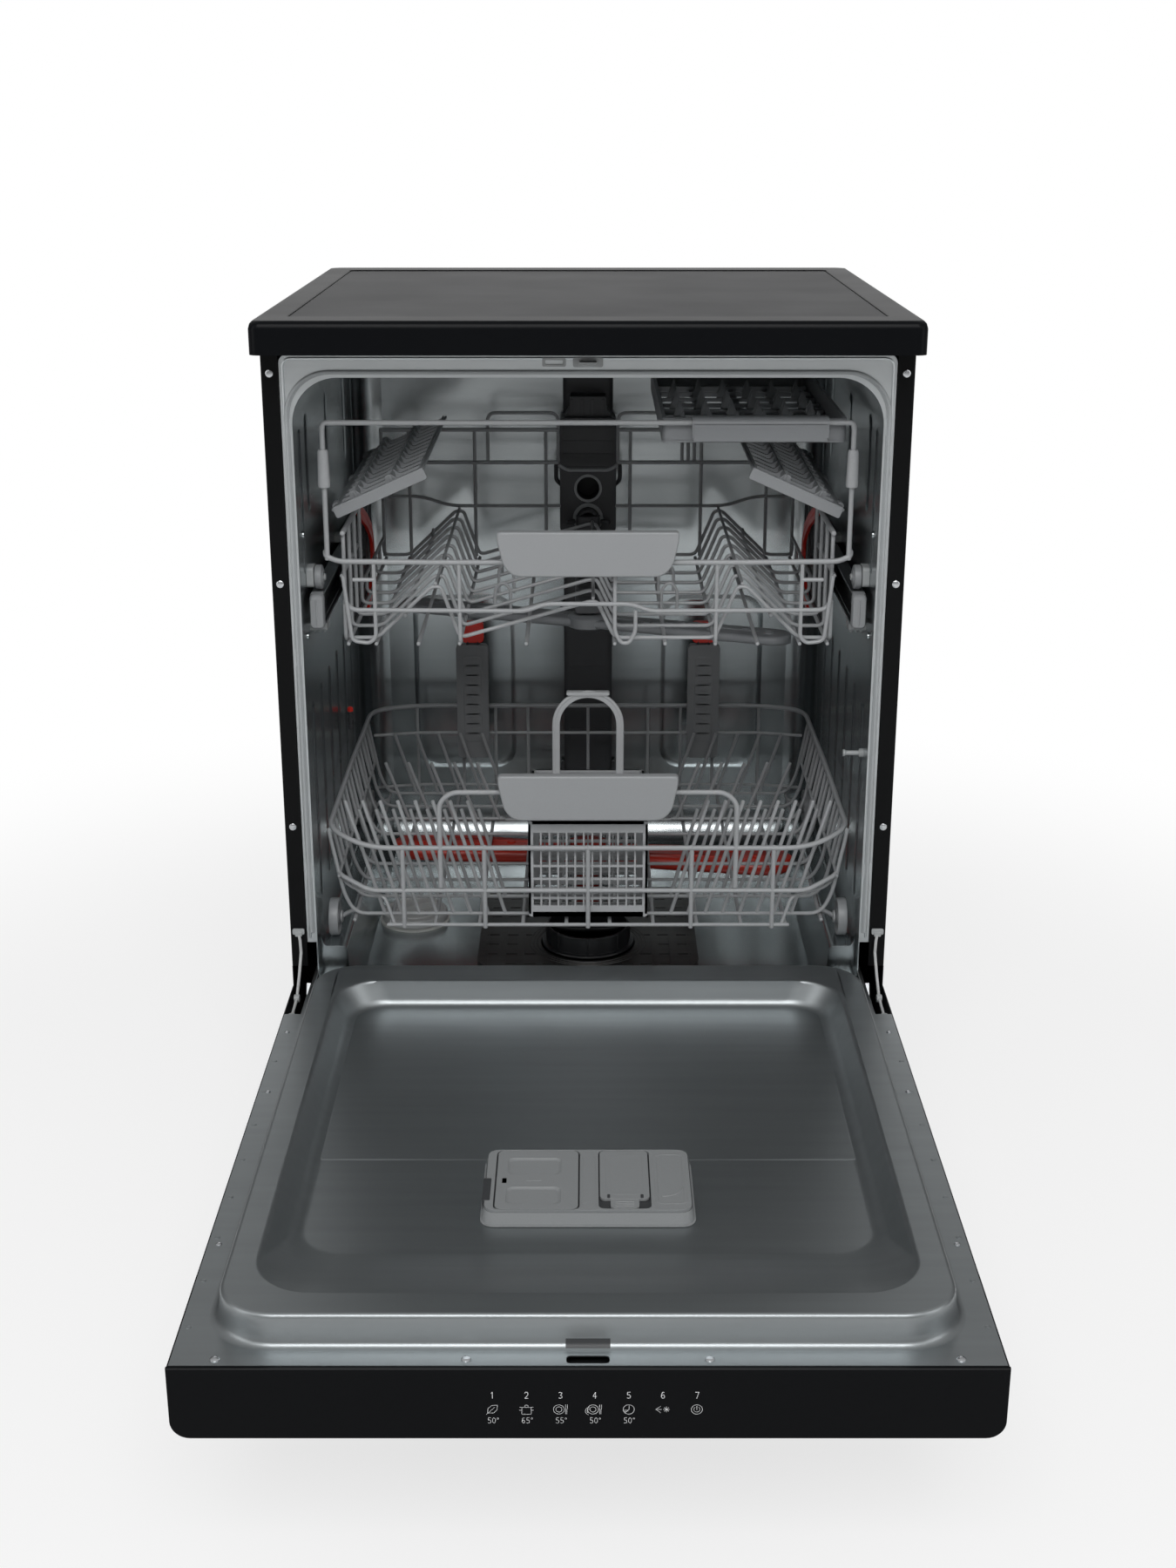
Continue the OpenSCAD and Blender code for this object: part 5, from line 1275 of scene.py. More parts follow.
flap = Shape()
flap.slab("z", 200.5, 202.8, rounded(9.6, -384, 49.4, -307.6, 5, 6))
flap.slab("z", 200.5, 202.4, rounded(18, -397, 41, -382, 4, 6))
loops = [[(x, y, z) for x, y in rounded(14 + i, -378 + i, 45 - i, -313 - i, 5, 6)] for i, z in
         ((0, 202.7), (0.8, 203), (4, 203), (5.4, 202.5))]
flap.loft(loops)
for y in (-394, -391, -388):
    flap.tube([(22, y, 202.4), (37, y, 202.4)], 1.0, 8)
flap.turned("z", (30, -350, 196.5), [(0, 0), (12.6, 0), (13.4, 0.6), (13.4, 4.2)], 32)
flap.paint(1)
for x in (15.4, 42.2):
    flap.box((x, -383, 202.3), (x + 2.4, -377, 203), 0.8)
make("rinse_aid_flap", flap, "rinse_aid_flap", ["dispenser_grey", "carriage_dark"],
     bevel=0.4)
print("pieces so far:", len(made))

# %% Latch and door screws
latch = Shape()
latch.slab("z", 160, 177.6, rounded(-22, -586, 22, -560, 3), [rounded(-14, -584, 14, -573, 1.5)])
latch.box((-22, -586, 150), (22, -560, 160), 3)
latch.box((-4, -583, 160), (4, -580, 174), 1)
latch.tube([(-12, -574.6, 166), (12, -574.6, 166)], 2.4, 10)
make("door_latch", latch, "door_latch", "carriage_dark", bevel=0.4)

heads = Shape()
for x in (-264.6, -86.4, 86.4, 264.6):
    screw(heads, "z", (x, -579, 190), 3.6, 1.5, 1)
for x in (-288, 288):
    for y in (-430, -180, -60):
        screw(heads, "z", (x, y, 190), 2.5, 0.85, 1)
make("door_screws", heads, "door_screws", "screw_steel", bevel=0)

# %% [markdown]
# ## Balance cords
# A cord at each side links the door to a hidden spring; the cord itself rides on no body and keeps the shape
# it is drawn in.
# Its upper clip stays on the cabinet, its lower eye follows the door. The clip sits low, out of
# the closed liner's way.

# %% Cords
for s, word in SIDES:
    cord = Shape()
    path = [(s * 291, 58.2, 243), (s * 289.6, 57, 234), (s * 289, 55.6, 222), (s * 289.6, 42, 204),
            (s * 290.5, 24, 186.4), (s * 291.2, 8, 183), (s * 291.5, -8, 181.4)]
    smooth = []
    for i in range(len(path) - 1):
        for t in (0, 0.25, 0.5, 0.75):
            smooth.append(tuple(a + (b - a) * t for a, b in zip(path[i], path[i + 1])))
    smooth.append(path[-1])
    cord.tube(smooth, 3.0, 10, bend=6)
    piece = make("balance_cord_" + word, cord, "balance_cords", "cord_pale", bevel=0)
    piece.parent = None
    del piece["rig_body"]
    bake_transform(piece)
    clip = Shape()
    clip.box((s * 285, 57.6, 240.4), (s * 297, 60, 246.4), 1.5, "y")
    clip.box((s * 287.6, 56.4, 238.6), (s * 294.4, 58.4, 243.6), 1, "y")
    make("cord_clip_" + word, clip, "balance_cords", "fitting_grey", bevel=0.3, body="cabinet")
    eye_ring = Shape()
    eye_ring.slab("x", s * 290.5 - 2.6, s * 290.5 + 2.6, ring(24, 186, 4, 24))
    eye_ring.box((s * 291.5 - 3, -14, 178.6), (s * 291.5 + 3, -5, 184), 1.6)
    make("cord_eye_" + word, eye_ring, "balance_cords", "fitting_grey", bevel=0.3)
print("pieces so far:", len(made))

# %% [markdown]
# ## Upper rack's slides
# Each rail is a C of bright steel with a moulded cap in front. A dark carriage runs in it and
# carries the rack; the red lever tips it into its second height.

# %% Rails
rails = Shape()
channel = [(256.2, 549.1), (268.4, 549.1), (268.4, 581.9), (256.2, 581.9), (256.2, 579.9), (266.4, 579.9),
           (266.4, 551.1), (256.2, 551.1)]
rails.slab("y", 97, 523.8, channel)
for y in (150, 470):
    rails.turned("x", (266.2, y, 565.5), [(4, 0.4), (4, -0.5), (2.6, -1.2), (0, -1.2)], 20)
rails.tube([(256.6, 99, 557), (256.6, 522, 557)], 1.0, 6)
rails.paint(1)
cap_loops = []
for y, k in ((87.1, 0.84), (88.6, 0.95), (91, 1), (97, 1)):
    cap_loops.append([(262 + (x - 262) * k, y, 565.2 + (z - 565.2) * k) for x, z in
                      rounded(255.1, 548.1, 268.9, 582.3, 4, 5)])
rails.loft(cap_loops)
rails.tube([(262, 87.3, 553), (262, 87.3, 577)], 2.0, 8)
rails.box((256, 97, 579.5), (268.8, 106, 582.2), 2, "y")
rails.mirrored()
make("upper_rails", rails, "upper_rails", ["rail_steel", "roller_grey"], bevel=0.3)

carriage = Shape()
holes = [rounded(y, 520, y + 26, 540, 3) for y in range(250, 419, 42)] + [rounded(345, 548, 410, 600, 5)]
carriage.slab("x", 248.6, 252.6, rounded(230, 505, 466, 614, 9, 6), holes)
carriage.slab("x", 247.6, 249, rounded(230, 505, 466, 614, 9, 6), [rounded(236, 511, 460, 608, 7, 6)])
for i in range(9):
    y = 244 + i * 25
    carriage.box((247.7, y, 578 if 340 < y < 415 else 546), (249, y + 2.4, 606), 0.5, "x")
for i in range(6):
    carriage.box((247.7, 238 + i * 42, 512), (249, 240.4 + i * 42, 545), 0.5, "x")
carriage.turned("x", (253, 305, 565.5), [(5.5, 0), (5.5, 1.2), (3, 1.6), (3, 12), (0, 12)], 24)
carriage.box((252.5, 425, 552.2), (265.6, 447, 578.8), 3, "x")
carriage.box((247.6, 232, 505.2), (253.8, 246, 519), 2, "x")
carriage.box((247.6, 450, 505.2), (253.8, 464, 519), 2, "x")
carriage.mirrored()
make("upper_carriage", carriage, "upper_carriage", "carriage_dark", bevel=0.4)

wheels = Shape()
wheels.turned("x", (257.6, 305, 565.5), [(3.2, 0), (6, 0), (7, 1), (12.4, 1), (13.5, 2), (13.5, 6), (12.4, 7),
                                         (7, 7), (6, 7.8), (3.2, 7.8), (3.2, 0)], 44)
wheels.mirrored()
make("carriage_wheels", wheels, "carriage_wheels", "roller_grey", bevel=0)

# %% Height levers: a curved red band with a stiffening rib
edge_out = [(262, 634), (300, 620), (330, 606), (372, 592), (412, 572), (424, 562), (428, 548), (424, 537),
            (414, 528), (390, 512), (366, 500)]
edge_in = [(372, 490), (398, 503), (424, 520), (438, 532), (442, 548), (436, 568), (422, 584), (384, 603),
           (336, 620), (300, 633), (266, 646)]
for s, word in SIDES:
    lever = Shape()
    band = softened(edge_out, 8, 4) + softened(edge_in, 8, 4)
    lever.slab("x", s * 242.6, s * 246.2, band)
    middle = [((a[0] + b[0]) / 2, (a[1] + b[1]) / 2) for a, b in zip(edge_out, edge_in[::-1])]
    lever.tube([(s * 243.2, y, z) for y, z in middle[1:-1]], 2.6, 8, bend=10)
    lever.turned("x", (s * 244.4, 268, 640), [(7, -1.9), (7, 1.9)], 24)
    lever.tube([(s * 243, 266, 646), (s * 243, 262, 634)], 2.2, 8)
    make("adjuster_lever_" + word, lever, "adjuster_lever_" + word, "lever_red", bevel=0.5)
print("pieces so far:", len(made))

# %% [markdown]
# ## Upper rack
# Straight wires are bent and spot-welded, then the whole rack is dipped in grey polyamide.
# The floor has two high ridges for tilting cups and a lower one in the middle.
# The coating rounds every bend and covers each cut end with a dome.
# Only the four front side wires reach the rim; those behind end low, where the red levers pass.

# %% Floor, sides and rims
WIRE, RIM_WIRE = 3.9, 5.3
rack = Shape()
pitch = 372 / 8
for i in range(9):
    y = 106 + i * pitch
    head = 640 if y < 250 else 556
    rack.tube([(-236, y, head), (-236, y, 536), (-206, y, 536), (-152, y, 587), (-143, y, 587),
               (-125, y, 536), (1, y, 572), (9, y, 572), (26, y, 536), (124, y, 536), (145, y, 587),
               (154, y, 587), (206, y, 536), (236, y, 536), (236, y, head)], WIRE, 8, bend=7)
for x in (-233, -206, -165, -125, -60, 26, 75, 124, 165, 206, 233):
    rack.tube([(x, 93, 533), (x, 476, 533)], WIRE, 8)
for x in (-178, 178):
    rack.tube([(x, 104, 558.6), (x, 470, 558.6), (x, 477, 566)], WIRE, 8, bend=5)
for x in (-147.5, 149.5):
    rack.tube([(x, 104, 590.4), (x, 476, 590.4)], 3.4, 8)
rack.tube([(5, 106, 575.4), (5, 476, 575.4)], 3.4, 8)
for s in (-1, 1):
    rack.tube([(s * 236, 102, 640), (s * 236, 478, 640)], RIM_WIRE, 10)
    rack.tube([(s * 238.5, 104, 598), (s * 238.5, 247, 598)], WIRE, 8)
    rack.tube([(s * 236, 245, 556), (s * 236, 480, 556)], WIRE, 8)
    rack.tube([(s * 236, 100, 572), (s * 236, 100, 538), (s * 236, 108, 534)], WIRE, 8, bend=6)
print("rack wires:", len(rack.faces))

# %% Front of the rack with its corner loops and the tray's posts
rack.tube([(-252, 96, 624), (-251.4, 92.4, 620), (-240, 92, 615), (-150, 92, 614), (150, 92, 614),
           (240, 92, 615), (251.4, 92.4, 620), (252, 96, 624)], RIM_WIRE, 10, bend=9)
rack.tube([(-236, 100, 574), (-228, 92.4, 567), (-60, 92.2, 566), (-42, 92.2, 573), (42, 92.2, 573),
           (60, 92.2, 566), (228, 92.4, 567), (236, 100, 574)], 4.5, 10, bend=8)
for x in (-226, 206):
    rack.tube([(x, 92, 597), (x + 20, 92, 597)], WIRE, 8)
for s in (-1, 1):
    rack.tube([(s * 236, 93, 600), (s * 229, 92.3, 536), (s * 212, 92.3, 534), (s * 206, 92.3, 540),
               (s * 206, 92.3, 612)], WIRE, 8, bend=6)
    rack.tube([(s * 124, 92.3, 612), (s * 124, 92.3, 534), (s * 124, 106, 533)], WIRE, 8, bend=6)
    rack.tube([(s * 250, 92.6, 744), (s * 250, 92.6, 617)], RIM_WIRE - 0.3, 10)
    rack.turned("z", (s * 250, 92.4, 686), [(3, 0), (5.4, 0.6), (5.9, 3), (5.2, 33), (4.4, 36), (2.6, 36)],
                22)
    rack.tube([(s * 250, 92.6, 740), (s * 249, 92.2, 747.4), (s * 240, 92, 747.4)], RIM_WIRE - 0.3, 10,
              bend=6)
rack.tube([(-245, 92, 747.4), (245, 92, 747.4)], RIM_WIRE - 0.3, 10)
rack.tube([(26, 92.3, 612), (26, 92.3, 545), (32, 92.3, 534), (40, 92.3, 534), (46, 92.3, 545),
           (46, 92.3, 566)], WIRE, 8, bend=5)

# %% Rear frame: two rims, hoops and the prongs that stop plates
for s in (-1, 1):
    rack.tube([(s * 32, 478, 593), (s * 158, 478, 593), (s * 190, 478, 604), (s * 236, 478, 604)], WIRE, 8,
              bend=14)
    for z in (643, 680):
        rack.tube([(s * 34, 477.6, z), (s * 228, 477.6, z), (s * 236, 477, z)], 4.5, 10)
    for x in (48, 129, 204, 235):
        rack.tube([(s * x, 478, 535), (s * x, 478, 679)], WIRE, 8)
    rack.tube([(s * 34, 479, 643), (s * 34, 479, 699), (s * 114, 479, 699), (s * 114, 479, 643)], WIRE, 8,
              bend=10)
rack.tube([(-33, 477.4, 640), (-24, 477.4, 634), (24, 477.4, 634), (33, 477.4, 640)], WIRE, 8, bend=5)
for x in (107, 121):
    rack.tube([(x, 478, 642), (x, 478, 724.6), (x, 440, 724.6)], WIRE, 8, bend=9)
for x, y in ((-95, 200), (-95, 292), (-95, 384), (75, 200), (75, 292), (75, 384)):
    rack.tube([(x, y, 536), (x, y, 562), (x + 8, y, 570), (x + 16, y, 562), (x + 16, y, 536)], 3.2, 8, bend=6)
make("upper_basket", rack, "upper_basket", "wire_coating", bevel=0)
print("upper rack faces:", len(rack.faces))

# %% [markdown]
# ## Handles
# Both racks have the same grip: a moulded bar with a curved lower edge and a rolled top.
# Two clips behind it snap over the front wire.

# %% Grip bars
def grip_bar(name, bar_y, bar_z, z0, w, h):
    """A bar of width w and height h from z0 up, clipped to the wire at (bar_y, bar_z)."""
    bar = Shape()
    y0, y1 = bar_y - 13, bar_y - 3.05
    lines = []
    for y, cut in ((y0, 2.2), (y0 + 0.5, 0.9), (y0 + 1.6, 0.2), (y0 + 3, 0), (y1 - 0.6, 0), (y1, 0.8)):
        half = w / 2 - cut
        low = [(-half + 16, z0 + cut), (half - 16, z0 + cut), (half - 6, z0 + 10), (half, z0 + h - 9),
               (half, z0 + h - cut), (-half, z0 + h - cut), (-half, z0 + h - 9), (-half + 6, z0 + 10)]
        soft = softened([low[-1]] + low + [low[0]], [0, 9, 9, 12, 6, 4, 4, 6, 12, 0], 5)[1:-1]
        lines.append([(x, y, z) for x, z in soft])
    bar.loft(lines)
    bar.tube([(-w / 2 + 5, y0 + 2.2, z0 + h - 3), (w / 2 - 5, y0 + 2.2, z0 + h - 3)], 3.4, 10)
    bar.box((-w / 2 + 20, y0 + 0.2, z0 + 14), (w / 2 - 20, y0 + 0.9, z0 + 15.6), 0.7, "y")
    for x in (-40, 40):
        bar.slab("x", x - 7, x + 7, [(y1 - 0.5, bar_z + 5.8), (bar_y + 4.8, bar_z + 5.8),
                                     (bar_y + 4.8, bar_z + 3), (bar_y - 2, bar_z + 3),
                                     (bar_y - 2.95, bar_z + 2), (bar_y - 2.95, bar_z - 2),
                                     (bar_y - 2, bar_z - 3), (bar_y + 4.8, bar_z - 3),
                                     (bar_y + 4.8, bar_z - 5.8), (y1 - 0.5, bar_z - 5.8)])
    make(name, bar, name, "handle_grey", bevel=0.4, sharp=50)


grip_bar("upper_rack_handle", 92, 614, 602, 174, 44)
grip_bar("lower_rack_handle", 78, 385, 359, 178, 47)

# %% Feed tube and upper arm
feed = Shape()
feed.slab("y", 489.8, 504.4, ring(0, DOCKS[0], 12.5, 36), [ring(0, DOCKS[0], 9.4, 32)])
for y in (492, 496, 500):
    feed.slab("y", y, y + 1.4, ring(0, DOCKS[0], 12.6, 36), [ring(0, DOCKS[0], 12.0, 32)])
feed.box((-13.8, 482, 515), (13.8, 498, 579), 5)
feed.box((-14, 284, 515), (14, 490, 528.8), 5, "y")
feed.turned("z", (0, 298, 500), [(0, 1), (7.4, 1), (8, 2), (8, 20), (13, 22), (13, 27)], 28)
for y in range(310, 480, 24):
    feed.box((-13, y, 528), (13, y + 1.6, 529), 0.6)
feed.tube([(-24, 488, 572), (-16, 492, 572)], 6, 10)
feed.tube([(24, 488, 572), (16, 492, 572)], 6, 10)
make("upper_feed_tube", feed, "upper_feed_tube", "duct_black", bevel=0.4)

upper_arm = Shape()
blade(upper_arm, 224, 34, 40, 9.6)
blade(upper_arm, 224, 34, 40, 9.6, flip=True)
upper_arm.turned("z", (0, 0, 0), [(0, -2), (18, -2), (22, 0), (22, 10), (19, 12.6), (12, 13), (8.2, 13),
                                  (8.2, 2), (0, 2)], 40)
for s in (-1, 1):
    jets(upper_arm, 224, 9.6, ((0.3, -4), (0.46, 5), (0.62, -6), (0.78, 7), (0.9, -3)), s)
    upper_arm.tube([(s * 26, 0, 9.4), (s * 190, 0, 9.4)], 2.2, 8)
upper_arm.turn(Matrix.Translation((0, 298, 499)) @ Matrix.Rotation(math.radians(-20), 4, "Z"))
make("upper_spray_arm", upper_arm, "upper_spray_arm", "arm_grey", bevel=0.3)
print("pieces so far:", len(made))

# %% [markdown]
# ## Cup shelves
# A moulded comb hinged on the side rim: a front bar, thirteen slats with two teeth each and two
# long ribs.

# %% Shelves
for s, word in SIDES:
    shelf = Shape()
    shelf.box((-98, 0.2, -8.8), (-2, 3.6, 1.5), 2.2, "y")
    shelf.tube([(-97, 1.9, 1.2), (-3, 1.9, 1.2)], 3.0, 10)
    shelf.box((-97.6, 2, -1.2), (-91, 335.6, 1.4), 1.2, "y")
    shelf.box((-8, 2, -1.4), (-0.4, 335.6, 1.4), 1.2, "y")
    shelf.tube([(-94, 4, 1.6), (-94, 334, 1.6)], 2.4, 8)
    for i in range(13):
        y = 10 + i * 26.4
        shelf.slab("y", y, y + 3.2, softened([(-97, -1.4), (-97, 0.6), (-90, 1.2), (-70, 1.4), (-66, 8),
                                              (-60, 8.8), (-58, 1.4), (-32, 1.4), (-28, 8), (-22, 8.8),
                                              (-20, 1.4), (-1, 1.4), (-1, -1.4)],
                                             [0, 1, 3, 2, 2, 2, 2, 2, 2, 2, 2, 1, 0], 3))
        shelf.box((-96, y + 2, -1.4), (-4, y + 8.6, -0.2), 1.0)
    for x in (-66, -28):
        shelf.box((x, 8, 0.8), (x + 2.2, 328, 7.6), 0.9, "y")
    for y in (30, 168, 306):
        shelf.turned("y", (-1.6, y, 0), [(0, -6), (3.4, -6), (3.4, 6), (0, 6)], 18)
    shelf.turn(Matrix.Scale(s, 4, Vector((1, 0, 0))) @ Matrix.Translation((246, 104, 661))
               @ Matrix.Rotation(math.radians(24), 4, "Y"))
    make("cup_shelf_" + word, shelf, "cup_shelf_" + word, "shelf_grey", bevel=0.35)

# %% [markdown]
# ## Cutlery tray
# Staggered rows of teeth hold the cutlery apart. Its front edge carries a rounded grip cover.

# %% Tray
flat = Shape()
x0, x1, y0, y1, z0 = 70, 244, 98, 470, 728
grid = [rounded(x0 + 9 + j * 40.5, y0 + 14 + i * 37, x0 + 41 + j * 40.5, y0 + 42 + i * 37, 4, 3)
        for i in range(9) for j in range(4)]
tray_outline = rounded(x0, y0, x1, y1, 8)
flat.slab("z", z0, z0 + 2.4, tray_outline, grid)
for low, high, wall in ((z0 + 2, 748.6, 2.4), (748.2, 750.4, 3.4)):
    flat.slab("z", low, high, tray_outline, [rounded(x0 + wall, y0 + wall, x1 - wall, y1 - wall, 6)])
for i in range(9):
    for j in range(6):
        x = x0 + 20 + j * 26.6 + (0 if i % 2 else 3)
        y = y0 + 10.4 + i * 37
        flat.loft([[(x - w, y + a, z), (x + w, y + a, z), (x + w, y + b, z), (x - w, y + b, z)] for w, a, b,
                   z in ((6, 0, 2.2, z0 + 2), (3, 0.2, 2, z0 + 11), (0.6, 0.5, 1.7, z0 + 17))])
for i in range(8):
    flat.box((x0 + 3, y0 + 30 + i * 44, z0 + 2), (x1 - 3, y0 + 31.6 + i * 44, z0 + 6), 0.7)
hood_section = [(84.7, 731), (84.7, 747)] + around(91, 746.6, 6.3, 180, 90, 6) + \
    [(100.2, 752.9), (100.2, 750.6), (91, 750.6), (88, 749), (87, 745), (87, 731)]
flat.slab("x", 99, 224, hood_section)
end_section = around(91, 746.6, 6.3, 180, 90, 6) + [(100.2, 752.9), (100.2, 740), (86, 733), (84.7, 734)]
for x in (97.6, 224):
    flat.slab("x", x, x + 1.6, end_section)
flat.box((112, 84.65, 734), (211, 85.2, 742), 2.0, "y")
make("cutlery_tray", flat, "cutlery_tray", "tray_grey", bevel=0.35)
print("pieces so far:", len(made))

# %% [markdown]
# ## Lower rack
# Heavier rims carry a grid of finer wires; the sides lean out so that plates drop in easily.
# Prongs are single wires welded upright, and those beside the basket lean with the sides.

# %% Floor grid and sides
GRID_Z, AXLE_Z, LOW_PITCH = 242.6, 235.2, 46.25
AXLES = ((118, "front"), (455, "rear"))
low = Shape()
for i in range(9):
    y = 100 + i * LOW_PITCH
    low.tube([(-262, y, 338), (-249, y, 268), (-238, y, 246), (238, y, 246), (249, y, 268), (262, y, 338)],
             WIRE, 8, bend=12)
for x in (-200, -155, -110, -66, -22, 22, 66, 110, 155, 200):
    low.tube([(x, 79, GRID_Z), (x, 499, GRID_Z)], WIRE, 8)
for s in (-1, 1):
    low.tube([(s * 238, 91, GRID_Z), (s * 238, 499, GRID_Z)], WIRE, 8)
    for i in range(8):
        y = 123 + i * LOW_PITCH
        low.tube([(s * 252.4, y, 292), (s * 262, y, 338)], WIRE, 8)
        low.tube([(s * 252.4, max(92, y - 40), 290), (s * 252.4, y, 292)], 3.2, 8)
rim_line = [(-262, 100, 338), (-220, 78, 326), (220, 78, 326), (262, 100, 338), (261.6, 300, 341),
            (258, 488, 345), (205, 500, 347), (-205, 500, 347), (-258, 488, 345), (-261.6, 300, 341)]
low.tube(rim_line, RIM_WIRE, 10, bend=26, loop=True)
low.tube([(-254, 104, 291), (-250, 96, 289), (-220, 78.2, 280), (220, 78.2, 280), (250, 96, 289),
          (254, 104, 291)], RIM_WIRE - 0.4, 10, bend=10)
low.tube([(-203, 78.4, GRID_Z), (203, 78.4, GRID_Z)], WIRE, 8)
for x in (-186, -104, 0, 104, 186):
    low.tube([(x, 78, 240), (x, 78, 328)], RIM_WIRE - 0.6, 10)
low.tube([(-148, 78, 284), (-148, 78, 374), (-136, 78, 385), (136, 78, 385), (148, 78, 374), (148, 78, 284)],
         RIM_WIRE, 10, bend=12)

# %% Rear panel and prongs
for z in (247, 313):
    low.tube([(-256, 488, z), (-205, 499.6, z), (205, 499.6, z), (256, 488, z)], WIRE, 8, bend=12)
for x in (-205, -150, -111, -72, -36, 0, 36, 72, 111, 150, 205):
    low.tube([(x, 499.6, 244), (x, 499.6, 346)], WIRE, 8)
for s in (-1, 1):
    for i in range(8):
        a, b = s * (208 - i * 17.6), s * (244 - i * 17.6)
        low.tube([(a, 100, 247), (b, 100, 368)], WIRE, 8)
        low.tube([(a + s * 1.6, 146.2, 247), (b - s * 8, 146.2, 342)], WIRE, 8)
    for i in range(5):
        low.tube([(s * (206 - i * 26), 470, 247), (s * (230 - i * 26), 470, 321)], WIRE, 8)
    for y, _ in AXLES:
        low.tube([(s * 238, y, 243.4), (s * 247, y, 240), (s * 254, y, AXLE_Z + 0.4)], 4.6, 10, bend=5)
        low.turned("x", (s * 260.5, y, AXLE_Z), [(0, -7.5), (2.8, -7.5), (3.3, -6.8), (3.3, 6.8), (2.8, 7.4),
                                                 (0, 7.4)], 20)
        low.turned("x", (s * 254.6, y, AXLE_Z), [(5.6, -1.5), (6.4, -0.8), (6.4, 0.8), (5.6, 1.3)], 20)
    low.tube([(s * 196, 80, GRID_Z), (s * 206, 84, 272), (s * 240, 96, 276), (s * 250, 104, 282)], 3.4, 8,
             bend=8)
make("lower_basket", low, "lower_basket", "wire_coating", bevel=0)
print("lower rack faces:", len(low.faces))

# %% Folding prongs and wheels
FOLD = (368, 251)
for s, word in SIDES:
    tines = Shape()
    tines.tube([(s * 96, *FOLD), (s * 226, *FOLD)], WIRE, 8)
    for x in range(206, 101, -26):
        tip = x + 68 * math.tan(math.radians(20))
        tines.tube([(s * x, *FOLD), (s * tip, 368, 318.4)], WIRE, 8)
    for x in (100, 222):
        tines.turned("x", (s * x, *FOLD), [(2.0, -2), (2.9, -1.6), (2.9, 1.6), (2.0, 2)], 16)
    make("tine_row_" + word, tines, "tine_row_" + word, "wire_coating", bevel=0)
for y, word in AXLES:
    roll = Shape()
    roll.turned("x", (256.6, y, AXLE_Z), [(3.5, 0), (6.4, 0), (7.4, 0.8), (8, 2.6), (15, 2.6), (16, 0.8),
                                          (17, 0.1), (18.6, 0.2), (19.4, 1.4), (19.4, 8.4), (18.6, 9.6),
                                          (17, 9.8), (16, 9.2), (15, 7.2), (8, 7.2), (7.4, 9), (6.4, 9.8),
                                          (3.5, 9.8), (3.5, 0)], 52)
    for k in range(6):
        a = math.radians(k * 60 + 12)
        roll.tube([(261.6, y + 7.6 * math.cos(a), AXLE_Z + 7.6 * math.sin(a)),
                   (261.6, y + 16 * math.cos(a), AXLE_Z + 16 * math.sin(a))], 4.4, 8)
    roll.mirrored()
    make("lower_wheels_" + word, roll, "lower_wheels_" + word, "wheel_grey", bevel=0)

# %% [markdown]
# ## Cutlery basket
# A moulded lattice: a solid band on top, tall slots, cross bars and a tier of small squares.
# The wall is one sheet with all of its windows cut out, so its edges have their real thickness.

# %% Basket walls
bx, y0, y1, z0, z1 = 60.0, 84.0, 246.0, 249.0, 352.0


def lattice(lo, hi, pitch_u, z_high):
    """Windows between thin slats, closer together towards the foot."""
    windows = []
    n = int((hi - lo) // pitch_u)
    start = (lo + hi - n * pitch_u) / 2
    for i in range(n):
        u = start + i * pitch_u
        for top, low in ((12, 30), (32, 47), (49, 61), (63, 72), (74, 81.5), (83.5, 91)):
            windows.append([(u + 0.9, z_high - low), (u + pitch_u - 0.9, z_high - low),
                            (u + pitch_u - 0.9, z_high - top), (u + 0.9, z_high - top)])
    return windows


bask = Shape()
for y in (y0, y1 - 2.4):
    bask.slab("y", y, y + 2.4, rounded(-bx, z0, bx, z1, 3), lattice(-bx + 4, bx - 4, 8.6, z1))
for x in (-bx, bx - 2.4):
    bask.slab("x", x, x + 2.4, rounded(y0, z0, y1, z1, 3), lattice(y0 + 4, y1 - 4, 9.0, z1))
cells = [rounded(-56 + i * 14.2, y0 + 5 + j * 14, -45 + i * 14.2, y0 + 16 + j * 14, 2, 2)
         for i in range(8) for j in range(11)]
bask.slab("z", z0, z0 + 2.4, rounded(-bx, y0, bx, y1, 4), cells)
for z in (z1 - 3, z0 + 2.4):
    bask.slab("z", z, z + 3, rounded(-bx, y0, bx, y1, 4),
              [rounded(-bx + 3.4, y0 + 3.4, bx - 3.4, y1 - 3.4, 3)])
divider = lattice(-bx + 6, bx - 6, 13.0, z1 - 4)
bask.slab("y", 166.4, 168.6, rounded(-bx + 2, z0 + 2, bx - 2, z1 - 3, 1), divider)

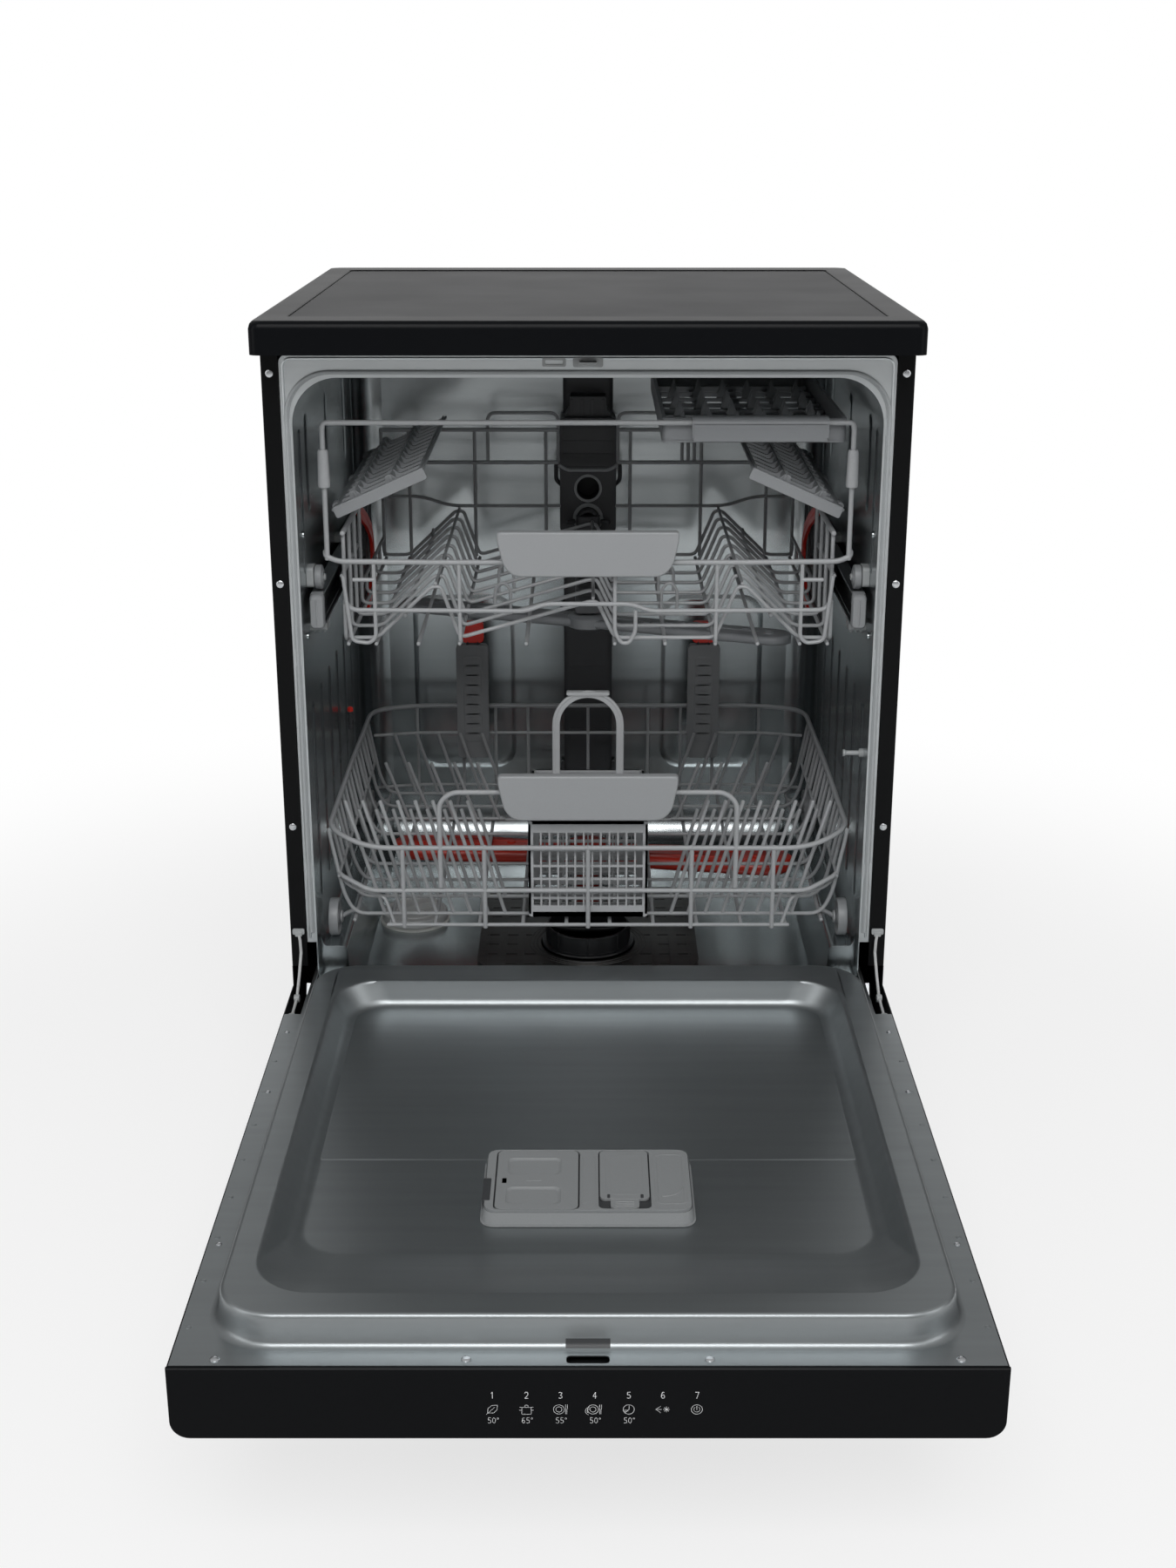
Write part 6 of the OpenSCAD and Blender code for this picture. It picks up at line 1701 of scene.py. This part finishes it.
# %% Carrying arch with its ribs
arch = [(-35.6, 345), (-35.6, 427)] + around(0, 427, 35.6, 180, 0, 18)[1:-1] + \
    [(35.6, 427), (35.6, 345), (29.4, 345), (29.4, 427)] + \
    around(0, 427, 29.4, 0, 180, 18)[1:-1] + [(-29.4, 427), (-29.4, 345)]
bask.slab("y", 166.4, 169.6, arch)
for r, thick, sides in ((34.8, 4.2, 10), (30.4, 3.0, 8)):
    rib = [(x, 168, z) for x, z in around(0, 427, r, 180, 0, 18)]
    bask.tube([(-r, 168, 348)] + rib + [(r, 168, 348)], thick, sides, bend=3)
bask.box((-22, 164.4, 459.2), (22, 171.6, 462.6), 2, "y")
for s in (-1, 1):
    bask.box((s * 36, 164.4, 344), (s * 28.4, 171.6, 360), 2, "y")
make("cutlery_basket", bask, "cutlery_basket", "lattice_grey", bevel=0)
print("cutlery basket faces:", len(bask.faces))

# %% [markdown]
# ## Rear supports
# Two grey uprights with a raised field stand at the back of the rack. A dark clip on top holds
# the red cap, which shows where to press them down.

# %% Supports
posts = Shape()
x0, x1 = 118, 156
posts.box((x0, 484.4, 286), (x1, 494, 426), 5, "y")
posts.loft([[(px, y, pz) for px, pz in rounded(x0 + 8 + k, 306 + k, x1 - 8 - k, 412 - k, 5)]
            for y, k in ((484.6, 0), (484.1, 0.6), (484.0, 2))])
for z in range(316, 404, 12):
    posts.box((x0 + 12, 484.0, z), (x1 - 12, 484.5, z + 2), 0.8, "y")
for px in (x0 + 6, x1 - 12):
    posts.box((px, 494, 318), (px + 6, 497.2, 330), 1, "y")
for px in (x0 + 3, x1 - 3):
    posts.tube([(px, 485.6, 292), (px, 485.6, 420)], 2.0, 8)
posts.paint(1)
posts.box((128, 487, 420), (144, 493, 434), 2, "y")
for px in (130, 142):
    posts.tube([(px, 486.6, 420), (px, 486.6, 431)], 3.0, 8)
posts.paint(2)
cap_section = rounded(123, 428.2, 149, 453.8, 5, 5)
posts.loft([[((x - 136) * k + 136, y, (z - 441) * k + 441) for x, z in cap_section]
            for y, k in ((485.2, 0.9), (486, 1), (494, 1), (494.8, 0.92))])
for z in (436, 446):
    posts.box((127, 484.9, z), (145, 485.6, z + 2), 0.8, "y")
posts.mirrored()
make("support_panels", posts, "support_panels", ["support_grey", "carriage_dark", "lever_red"],
     bevel=0.4)
print("all pieces:", len(made))
